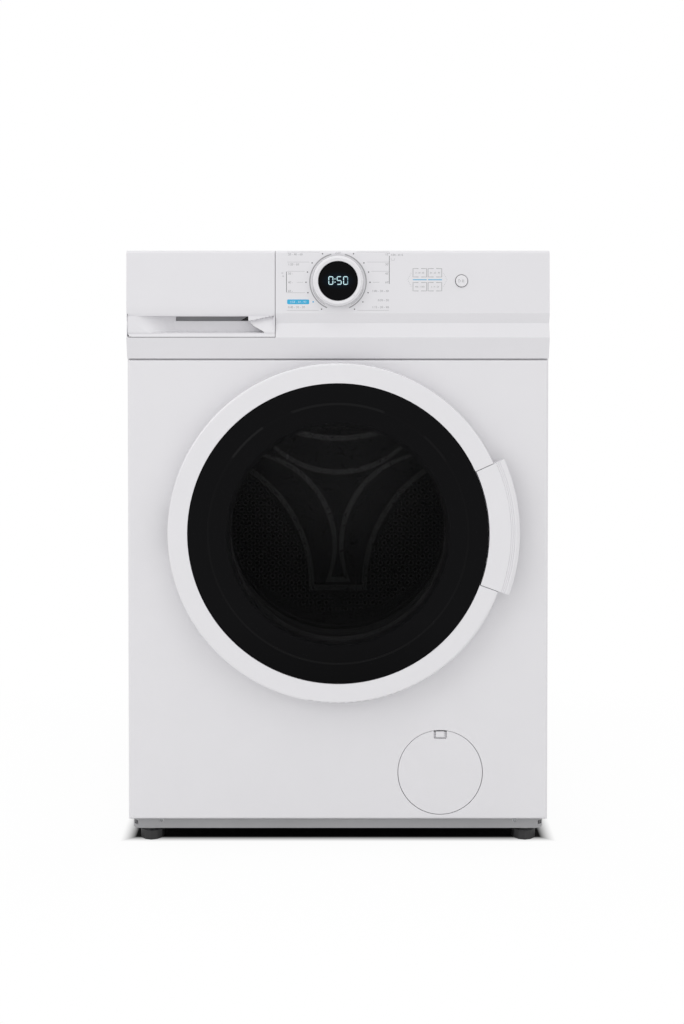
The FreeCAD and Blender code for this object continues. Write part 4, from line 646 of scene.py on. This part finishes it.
def segment(letter, x, z, half_x, half_z, width):
    """One bar of a seven-segment figure, pointed at both ends."""
    gap = 0.12
    start, end = (Vector((x + sx * half_x, z + sz * half_z)) for sx, sz in BAR_ENDS[letter])
    along = (end - start).normalized()
    across = Vector((-along.y, along.x)) * width / 2
    inset = along * (width / 2 + gap)
    start, end = start + along * gap, end - along * gap
    points = [start, start + inset + across, end - inset + across,
              end, end - inset - across, start + inset - across]
    return [tuple(p) for p in points], [tuple(range(6))]


def display_figures():
    """The remaining time on the round display."""
    bright = glowing("figures_lit", (0.62, 0.90, 0.96), 0.98)
    dim = glowing("figures_dim", (0.30, 0.52, 0.60), 0.85)
    middle = KNOB_Z + DISPLAY_RISE
    lit, faded = [], []
    for figure, x in (("0", -10.0), ("5", 1.6), ("0", 10.6)):
        for letter in SEGMENTS[figure]:
            bar = segment(letter, x, middle, 2.85, 5.35, 1.15)
            (faded if x > 10 and letter in "bc" else lit).append(bar)
    for side in (-1, 1):
        z = middle + side * 2.2
        lit.append(rounded(-4.9, z - 0.75, -3.5, z + 0.75, 0.4))
    printed("figures", lit, bright, "display_lens")
    printed("figures_faded", faded, dim, "display_lens")


def display_black():
    """The display's smoked cover, with the faint glow of the figures round them."""
    glow_half_x, glow_half_z = 19, 10
    material, tree, bsdf = shader("display_black")
    _, x, z, _ = from_axis(tree, KNOB_HEIGHT + DISPLAY_RISE * MM)
    near = hypotenuse(tree, maths(tree, "DIVIDE", x, glow_half_x), maths(tree, "DIVIDE", z, glow_half_z))
    bsdf.inputs["Base Color"].default_value = (0.003, 0.003, 0.0035, 1)
    bsdf.inputs["Specular IOR Level"].default_value = 0.04
    tree.links.new(spread(tree, noise(tree, 20, 2), 0.05, 0.09), bsdf.inputs["Roughness"])
    bsdf.inputs["Emission Color"].default_value = (0.0, 0.10, 0.22, 1)
    tree.links.new(spread(tree, near, 0.045, 0.0, 0.5, 1.3), bsdf.inputs["Emission Strength"])
    return material


# The drawer's front

DRAWER_LOW, DRAWER_HIGH = (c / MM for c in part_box("drawer_front"))
LIP, CREASE = DRAWER_LOW.z + 5.6, DRAWER_LOW.z + 29.4
BAND_LOW, BAND_HIGH = DRAWER_LOW.z + 19.2, DRAWER_LOW.z + 33.2
SLOT_LEFT, SLOT_RIGHT = -230.0, -126.0
SLOT_LOW, SLOT_HIGH = DRAWER_LOW.z + 21.8, DRAWER_LOW.z + 28.0
SCOOP_FACE, SCOOP_DEPTH, WING_DEPTH = FRONT / MM - 8.4, 19, 6


def spaced(marks, step):
    """The marks, with even steps of about this length between them."""
    made = []
    for start, end in zip(marks, marks[1:]):
        count = max(1, round((end - start) / step))
        made += [start + (end - start) * i / count for i in range(count)]
    return made + [marks[-1]]


def drawer_section(z):
    """The y of the fascia's section at this height, with the round edge at its top."""
    front, top, edge = FRONT / MM, DRAWER_HIGH.z, 4
    shape = ((DRAWER_LOW.z, -9.0), (BAND_LOW, -3.5), (BAND_HIGH, -8.0), (top - edge, -6.0))
    for (z0, y0), (z1, y1) in zip(shape, shape[1:]):
        if z <= z1:
            return front + y0 + (y1 - y0) * (z - z0) / (z1 - z0)
    return front - 2.0 - math.sqrt(max(edge ** 2 - (z - top + edge) ** 2, 0))


def in_slot(x, z):
    """Whether a point of the drawer's front lies in the finger slot."""
    return SLOT_LEFT < x < SLOT_RIGHT and SLOT_LOW < z < SLOT_HIGH


def drawer_depth(x, z):
    """The y of the drawer's front: the section, and the finger scoop with its slot and right wing."""
    if not LIP < z < CREASE:
        return drawer_section(z)
    if in_slot(x, z):
        return DRAWER_HIGH.y - 1.5
    rise = (z - LIP) / (CREASE - LIP)
    wing_end = DRAWER_HIGH.x - 2.5
    if x > SLOT_RIGHT + 24 * (1 - min(rise / 0.72, 1)) ** 1.6:
        above = SLOT_LOW + (CREASE - SLOT_LOW) * (x - SLOT_RIGHT) / (wing_end - SLOT_RIGHT)
        tilted = x <= wing_end and z <= above
        return SCOOP_FACE + (WING_DEPTH * (z - LIP) / (above - LIP) if tilted else 0)
    start = DRAWER_LOW.x + 4 + 27 * (1 - rise) ** 2
    into = min(max((x - start) / (SLOT_LEFT - start), 0), 1)
    return SCOOP_FACE + SCOOP_DEPTH * into * into * (3 - 2 * into) * min((z - LIP) / 1.5, 1)


def drawer_face():
    """The drawer's face: a wide left flank, a slot whose back is painted black as painted shade, and a bright
    right wing.
    """
    corner, end_gap, tight = 5.4, 2.2, 0.03
    left, right, bottom, top = DRAWER_LOW.x, DRAWER_HIGH.x, DRAWER_LOW.z, DRAWER_HIGH.z
    across = spaced([left, left + corner, SLOT_LEFT - tight, SLOT_LEFT + tight, SLOT_RIGHT - tight,
                     SLOT_RIGHT + tight, right - 2.5, right], 1.6)
    upward = spaced([bottom, bottom + corner, LIP, LIP + tight, SLOT_LOW - tight, SLOT_LOW + tight,
                     SLOT_HIGH - tight, SLOT_HIGH + tight, CREASE - tight, CREASE, BAND_HIGH], 0.9)
    upward += spaced([BAND_HIGH, top - 4], 12)[1:] + spaced([top - 4, top], 0.5)[1:]
    verts, faces = [], []
    for z in upward:
        inset = end_gap if z < BAND_HIGH else 0.0
        if z < bottom + corner:
            inset += corner - math.sqrt(corner ** 2 - (corner - (z - bottom)) ** 2)
        verts += [(max(x, left + inset), drawer_depth(x, z), z) for x in across]
    width, height = len(across), len(upward)
    for row in range(height - 1):
        for column in range(width - 1):
            this = row * width + column
            faces.append((this, this + 1, this + width + 1, this + width))
    rim = list(range(width)) + [row * width + width - 1 for row in range(1, height)]
    rim += [(height - 1) * width + column for column in range(width - 2, -1, -1)]
    rim += [row * width for row in range(height - 2, 0, -1)]
    first = len(verts)
    verts += [(verts[i][0], DRAWER_HIGH.y, verts[i][2]) for i in rim]
    for index in range(len(rim)):
        beside = (index + 1) % len(rim)
        faces.append((rim[index], rim[beside], first + beside, first + index))
    faces.append(tuple(range(first, len(verts))))
    made = mesh_piece("drawer_face", verts, faces, LOOKS["panel_white"], "drawer", crease=28)
    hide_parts("drawer_front")
    # Painted shade: the slot's back faces get the black cover finish to stand for the deep dark inside.
    made.data.materials.append(LOOKS["cover_black"])
    for polygon in made.data.polygons:
        spot = polygon.center / MM
        if in_slot(spot.x, spot.z) and abs(polygon.normal.y) > 0.5 and spot.y < DRAWER_HIGH.y - 0.5:
            polygon.material_index = 1


def drawer_trim():
    """The grey plate behind the slot, its dark grey partly painted shade, and the strip that closes the fascia
    beside the drawer's lower half.
    """
    plate_y = SCOOP_FACE + SCOOP_DEPTH + 3
    outline = [(SLOT_LEFT, SLOT_LOW), (SLOT_RIGHT - 13, SLOT_LOW), (SLOT_RIGHT - 3, SLOT_HIGH),
               (SLOT_LEFT, SLOT_HIGH)]
    # Painted shade in part: the plate is a darker grey than the drawer's own grey.
    shade = finish("slot_shade_grey", (0.26, 0.26, 0.27), 0.5, 0.8, 0.02, 0.1)
    solid = loft([(outline, plate_y), (outline, plate_y + 2)])
    plate = mesh_piece("drawer_slot_plate", *solid, shade, "drawer")
    strip_top, back = BAND_HIGH - 0.4, DRAWER_HIGH.y - 1
    side = [(drawer_section(z), z) for z in (DRAWER_LOW.z, BAND_LOW, strip_top)]
    side += [(back, strip_top), (back, DRAWER_LOW.z)]
    verts, faces = loft([(side, DRAWER_LOW.x), (side, DRAWER_LOW.x + 1.4)])
    verts = [(x, y, z) for y, x, z in verts]
    end = mesh_piece("fascia_end", verts, faces, LOOKS["panel_white"], "cabinet")


# The filter's flap

def flap():
    """The round flap: a disc with a chamfered rim, a finger notch at its top and the tab that stands in it."""
    low, high = (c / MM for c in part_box("filter_flap"))
    x, z, radius = (low.x + high.x) / 2, (low.z + high.z) / 2, (high.x - low.x) / 2
    half, notch, front, steps = 9.4, high.z - 12, low.y, 120
    start = math.degrees(math.asin(half / radius))

    def outline(size):
        """The disc's edge at this radius, and the notch's floor with its cut corners."""
        circle = [from_top(size, start + (360 - 2 * start) * i / steps, x, z) for i in range(steps + 1)]
        return circle + [(x - half, notch + 1.5), (x - half + 1.5, notch),
                         (x + half - 1.5, notch), (x + half, notch + 1.5)]

    backing = rounded(x - half - 3, notch - 3, x + half + 3, high.z - 3.2, 2)[0]
    tab = rounded(x - 6.2, notch + 2.2, x + 6.2, high.z - 1.6, 1.2)[0]
    edge = outline(radius)
    solid = loft([(outline(radius - 0.4), front), (edge, front + 0.4), (edge, front + 4.6)])
    solid = loft([(backing, front + 4.5), (backing, front + 6)], *solid)
    solid = loft([(tab, front + 0.5), (tab, front + 4.7)], *solid)
    made = mesh_piece("flap_face", *solid, LOOKS["body_white"], "flap", crease=30)
    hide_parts("filter_flap")


# Soft pieces

def smooth_profile(points, steps=4):
    """A closed profile rounded by a Catmull-Rom curve through its points."""
    made = []
    count = len(points)
    for index in range(count):
        a, b, c, d = (Vector(points[(index + k) % count]) for k in (-1, 0, 1, 2))
        for step in range(steps):
            t = step / steps
            spot = 0.5 * (2 * b + (c - a) * t + (2 * a - 5 * b + 4 * c - d) * t * t
                          + (3 * b - a - 3 * c + d) * t * t * t)
            made.append(tuple(spot))
    return made


def gasket():
    """The door's rubber bellows: a lipped collar, one rolled fold and a clamped sleeve on the tub's neck."""
    # (radius, distance behind the front panel), out along the outside and back along the inside
    outer = [(155.2, 3.2), (159.5, 2.4), (163.6, 3.2), (164.2, 8), (163.4, 10), (164.2, 12), (164.1, 20),
             (168.5, 26.5), (174.6, 31.5), (174.8, 35.2), (170.2, 41), (168.0, 46.5), (168.0, 51), (167.4, 53),
             (168.0, 55), (167.8, 59)]
    inner = [(165.7, 59), (165.6, 47.5), (169.2, 39.5), (172.0, 34.4), (168.8, 30), (162.4, 25.6), (157, 23.6),
             (154.6, 20.4), (154.7, 16.5), (155.7, 15), (154.7, 13.5), (154.7, 10.5), (155.7, 9), (154.7, 7.5)]
    clamp_radius, clamp_at, clamp_wire = 168.2, 53, 1.1
    centre = (0, FRONT / MM, DOOR_HEIGHT / MM)
    profile = smooth_profile(outer + inner, 3)
    made = mesh_piece("door_bellows", *lathe(profile, centre, "Y", 120), LOOKS[SLOT_OF["door_gasket"]])
    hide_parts("door_gasket")
    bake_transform(made)
    turns = [step * math.pi / 5 for step in range(10)]
    ring = [(clamp_radius + clamp_wire * math.cos(a), clamp_at + clamp_wire * math.sin(a)) for a in turns]
    mesh_piece("bellows_clamp", *lathe(ring, centre, "Y", 96), LOOKS["zinc"], "tub")


def hose(name, node_name, top_body, low_body, ends):
    """A corrugated rubber hose with a plain cuff and a clamp at each end."""
    low, high = (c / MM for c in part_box(node_name))
    outer = (high.x - low.x) / 2 - 0.2
    neck, bore, half_clamp = outer - 1.4, outer - 3.0, 2.2
    length = high.z - low.z - 2 * ends
    folds = round(length / 6.5)
    pitch = length / folds
    fold = ((0.15, outer - 1.6), (0.35, outer - 0.2), (0.55, outer), (0.75, outer - 0.3), (0.95, outer - 1.8))
    profile = [(neck, low.z), (neck, low.z + ends)]
    for index in range(folds):
        base = low.z + ends + index * pitch
        profile += [(radius, base + share * pitch) for share, radius in fold]
    profile += [(neck, high.z - ends), (neck, high.z), (bore, high.z), (bore, low.z)]
    centre = ((low.x + high.x) / 2, (low.y + high.y) / 2, 0)
    made = mesh_piece(name, *lathe(profile, centre, "Z", 48), LOOKS[SLOT_OF[node_name]], crease=60)
    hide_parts(node_name)
    middle = [c * MM for c in centre[:2]]
    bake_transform(made)
    for label, z, body in (("low", low.z + ends / 2, low_body), ("top", high.z - ends / 2, top_body)):
        band = [(neck, z - half_clamp), (outer - 0.3, z - half_clamp),
                (outer - 0.3, z + half_clamp), (neck, z + half_clamp)]
        mesh_piece("%s_clamp_%s" % (name, label), *lathe(band, centre, "Z", 48), LOOKS["zinc"], body)


def spring(side, node_name):
    """A wound tension spring with a hook at each end, stretched between the top rail and the tub."""
    low, high = (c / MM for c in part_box(node_name))
    x, y = (low.x + high.x) / 2, (low.y + high.y) / 2
    wire, turns, steps = 1.4, 24, 14
    coil = (high.x - low.x) / 2 - wire - 0.2
    start, end = low.z + 20, high.z - 20

    def hook(tip, facing):
        """A hook's points, from its tip at this height towards the coil."""
        points = [(x, y + coil * 0.1, tip + facing * 0.3)]
        for step in range(1, 9):
            out = 6.3 * math.sin(math.pi * (1.15 - step / 8))
            rise = 8 - 7.6 * math.cos(math.pi * step / 8)
            points.append((x, y + out, tip + facing * rise))
        return points

    points = hook(low.z + wire, 1)
    for step in range(turns * steps + 1):
        turn = 2 * math.pi * step / steps
        z = start + (end - start) * step / (turns * steps)
        points.append((x + coil * math.cos(turn), y + coil * math.sin(turn), z))
    points += reversed(hook(high.z - wire, -1))
    made = mesh_piece("coil_" + side, *tube(points, wire), LOOKS[SLOT_OF[node_name]], crease=60)
    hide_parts(node_name)
    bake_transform(made)


# Small fasteners

def screw(name, x, y, z, facing, radius=3.6):
    """A domed screw head with a cross recess, facing along Y; it rides on the cabinet."""
    rings = (0.0, 0.42, 0.5, 1.2, 1.7, 1.8, 2.6, 3.2, radius)
    steps, dome, recess_depth, recess_reach, recess_half = 24, 1.9, 1.1, 1.75, 0.46
    verts, faces = [], []
    for ring in rings:
        for step in range(steps):
            turn = 2 * math.pi * step / steps
            a, b = ring * math.cos(turn), ring * math.sin(turn)
            rise = dome * math.sqrt(max(1 - (ring / (radius * 1.08)) ** 2, 0))
            if ring <= recess_reach and min(abs(a), abs(b)) < recess_half:
                rise -= recess_depth
            verts.append((x + a, y + facing * rise, z + b))
    for ring in range(len(rings) - 1):
        for step in range(steps):
            this, beside = ring * steps + step, ring * steps + (step + 1) % steps
            faces.append((this, beside, beside + steps, this + steps))
    outer, first = (len(rings) - 1) * steps, len(verts)
    verts += [(verts[outer + step][0], y - facing * 0.3, verts[outer + step][2]) for step in range(steps)]
    for step in range(steps):
        beside = (step + 1) % steps
        faces.append((outer + step, outer + beside, first + beside, first + step))
    faces.append(tuple(range(first, first + steps)))
    mesh_piece(name, verts, faces, LOOKS["zinc"], "cabinet", crease=30)


def fasteners():
    """The screws that hold the back panel, the service cover and the plinth."""
    sides = ((-1, "left"), (1, "right"))
    low, high = (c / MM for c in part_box("back_panel"))
    rows, edge = 6, 12
    for row in range(rows):
        z = low.z + 40 + (high.z - low.z - 60) * row / (rows - 1)
        for side, label in sides:
            screw("back_screw_%d_%s" % (row, label), side * (high.x - edge), high.y, z, 1)
    low, high = (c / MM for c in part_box("service_cover"))
    edge, off = 8, 85
    half_x, half_z, middle = high.x - edge, (high.z - low.z) / 2 - edge, (high.z + low.z) / 2
    spots = [(side * half_x, end * off) for side in (-1, 1) for end in (-1, 1)]
    spots += [(end * off, side * half_z) for side in (-1, 1) for end in (-1, 1)]
    for index, (x, rise) in enumerate(spots):
        z = middle + rise
        screw("cover_screw_%d" % index, x, touch("service_cover", x, z, 1), z, 1)
    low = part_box("base_frame")[0] / MM
    for side, label in sides:
        screw("plinth_screw_" + label, side * 252, low.y, 38.5, -1, 2.4)


def inlet_thread():
    """The thread round the inlet's spigot."""
    low, high = (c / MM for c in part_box("inlet_valve"))
    pitch, turns, depth, run_out = 1.8, 7, 0.85, 1.4
    x, z = (low.x + high.x) / 2, (low.z + high.z) / 2
    corners = [v.co / MM for v in NODES["inlet_valve"].data.vertices]
    radius = max(math.hypot(v.x - x, v.z - z) for v in corners if v.y > high.y - 0.5)
    profile = [(radius - 0.2, high.y - 0.6)]
    for index in range(turns):
        y = high.y - run_out - index * pitch
        profile += [(radius + 0.02, y), (radius + depth, y - pitch / 2)]
    end = high.y - run_out - turns * pitch
    profile += [(radius + 0.02, end), (radius - 0.2, end - 0.2)]
    mesh_piece("inlet_thread", *lathe(profile, (x, 0, z), "Y", 48), LOOKS[SLOT_OF["inlet_valve"]], "cabinet")


dial_prints()
option_prints()
display_figures()
NODES["display_lens"].data.materials[0] = display_black()
drawer_face()
drawer_trim()
flap()
gasket()
hose("sump_bellows", "sump_hose", "tub", "cabinet", 12)
hose("dispenser_bellows", "dispenser_hose", "cabinet", "tub", 8)
spring("left", "spring_left")
spring("right", "spring_right")
fasteners()
inlet_thread()


# Camera, light and floor

def make_camera():
    """The viewing angle: straight at the front from a little above the door, with the view shifted down."""
    camera = bpy.data.objects.new("camera", bpy.data.cameras.new("camera"))
    bpy.context.scene.collection.objects.link(camera)
    camera.location = (0, FRONT - 1.9, 0.805)
    camera.rotation_euler = (math.radians(90 - 1.0), 0, 0)
    camera.data.sensor_width = 36
    camera.data.lens = 47.35
    camera.data.shift_x = 0.0039
    camera.data.shift_y = -0.201
    bpy.context.scene.camera = camera


def seen_directly(tree):
    """1 for rays that show the background to the camera, in a mirror or through glass."""
    path = node(tree, "LightPath")
    total = maths(tree, "MAXIMUM", path.outputs["Is Camera Ray"], path.outputs["Is Glossy Ray"])
    return maths(tree, "MAXIMUM", total, path.outputs["Is Transmission Ray"])


def make_world(strength):
    """An even pale surround; the camera, mirrors and glass see it as plain white."""
    world = bpy.data.worlds.new("studio")
    bpy.context.scene.world = world
    world.use_nodes = True
    tree = world.node_tree
    tree.nodes.clear()
    out = node(tree, "OutputWorld")
    mix = node(tree, "MixShader")
    lit = node(tree, "Background", Color=(1, 1, 1, 1), Strength=strength)
    seen = node(tree, "Background", Color=(1, 1, 1, 1), Strength=1.0)
    tree.links.new(seen_directly(tree), mix.inputs[0])
    tree.links.new(lit.outputs[0], mix.inputs[1])
    tree.links.new(seen.outputs[0], mix.inputs[2])
    tree.links.new(mix.outputs[0], out.inputs["Surface"])


def softbox(name, spot, aim, width, height, power):
    """A soft rectangular lamp."""
    lamp = bpy.data.lights.new(name, "AREA")
    lamp.shape = "RECTANGLE"
    lamp.size = width
    lamp.size_y = height
    lamp.energy = power
    holder = bpy.data.objects.new(name, lamp)
    holder.location = spot
    holder.rotation_euler = (Vector(aim) - Vector(spot)).to_track_quat("-Z", "Y").to_euler()
    bpy.context.scene.collection.objects.link(holder)


def make_floor():
    """A wide pale floor that stays white where nothing shades it, and is painted near black under the machine
    and a little past its sides as a painted shadow.
    """
    shade_half_x, shade_half_y = CAD_BOX[1].x + 0.012, 0.20
    soft_start, soft_end, far = -0.012, 0.004, 0.35
    mesh = bmesh.new()
    bmesh.ops.create_grid(mesh, x_segments=8, y_segments=8, size=14)
    data = bpy.data.meshes.new("floor")
    mesh.to_mesh(data)
    mesh.free()
    floor = bpy.data.objects.new("floor", data)
    bpy.context.scene.collection.objects.link(floor)
    material, tree, bsdf = shader("studio_floor")
    bsdf.inputs["Roughness"].default_value = 0.9
    bsdf.inputs["Specular IOR Level"].default_value = 0.1
    split = node(tree, "SeparateXYZ")
    tree.links.new(place(tree), split.inputs[0])
    out_x = maths(tree, "SUBTRACT", maths(tree, "ABSOLUTE", split.outputs["X"]), shade_half_x)
    out_y = maths(tree, "SUBTRACT", maths(tree, "ABSOLUTE", split.outputs["Y"]), shade_half_y)
    away = maths(tree, "MAXIMUM", maths(tree, "MULTIPLY", out_x, 0.73), out_y)
    # Painted shadow: the floor's colour goes near black under the machine, fading just past its sides.
    painted_shadow = spread(tree, away, 1, 0, soft_start, soft_end)
    pale = blend_colours(tree, noise(tree, 900, 2), (0.83, 0.83, 0.83), (0.86, 0.86, 0.86))
    tree.links.new(blend_colours(tree, painted_shadow, pale, (0.0015, 0.0015, 0.0015)), bsdf.inputs["Base Color"])
    bare = maths(tree, "ADD", spread(tree, away, 0, 0.96, soft_start, soft_end),
                 spread(tree, away, 0, 0.04, 0.0, far))
    white = node(tree, "Emission", Color=(1, 1, 1, 1), Strength=1.0)
    mix = node(tree, "MixShader")
    tree.links.new(maths(tree, "MULTIPLY", seen_directly(tree), bare), mix.inputs[0])
    tree.links.new(bsdf.outputs[0], mix.inputs[1])
    tree.links.new(white.outputs[0], mix.inputs[2])
    tree.links.new(mix.outputs[0], tree.nodes["Material Output"].inputs["Surface"])
    floor.data.materials.append(material)


make_camera()
make_world(strength=0.825)
softbox("lamp_left", (-2.3, FRONT - 2.0, 2.1), (0, FRONT, 0.5), 1.8, 1.8, 16)
softbox("lamp_right", (2.3, FRONT - 2.0, 1.7), (0, FRONT, 0.5), 1.8, 1.8, 5.6)
softbox("lamp_top", (0, FRONT - 1.2, 2.9), (0, FRONT, 0.4), 2.2, 1.2, 9)
make_floor()
bpy.context.scene.view_settings.view_transform = "Standard"
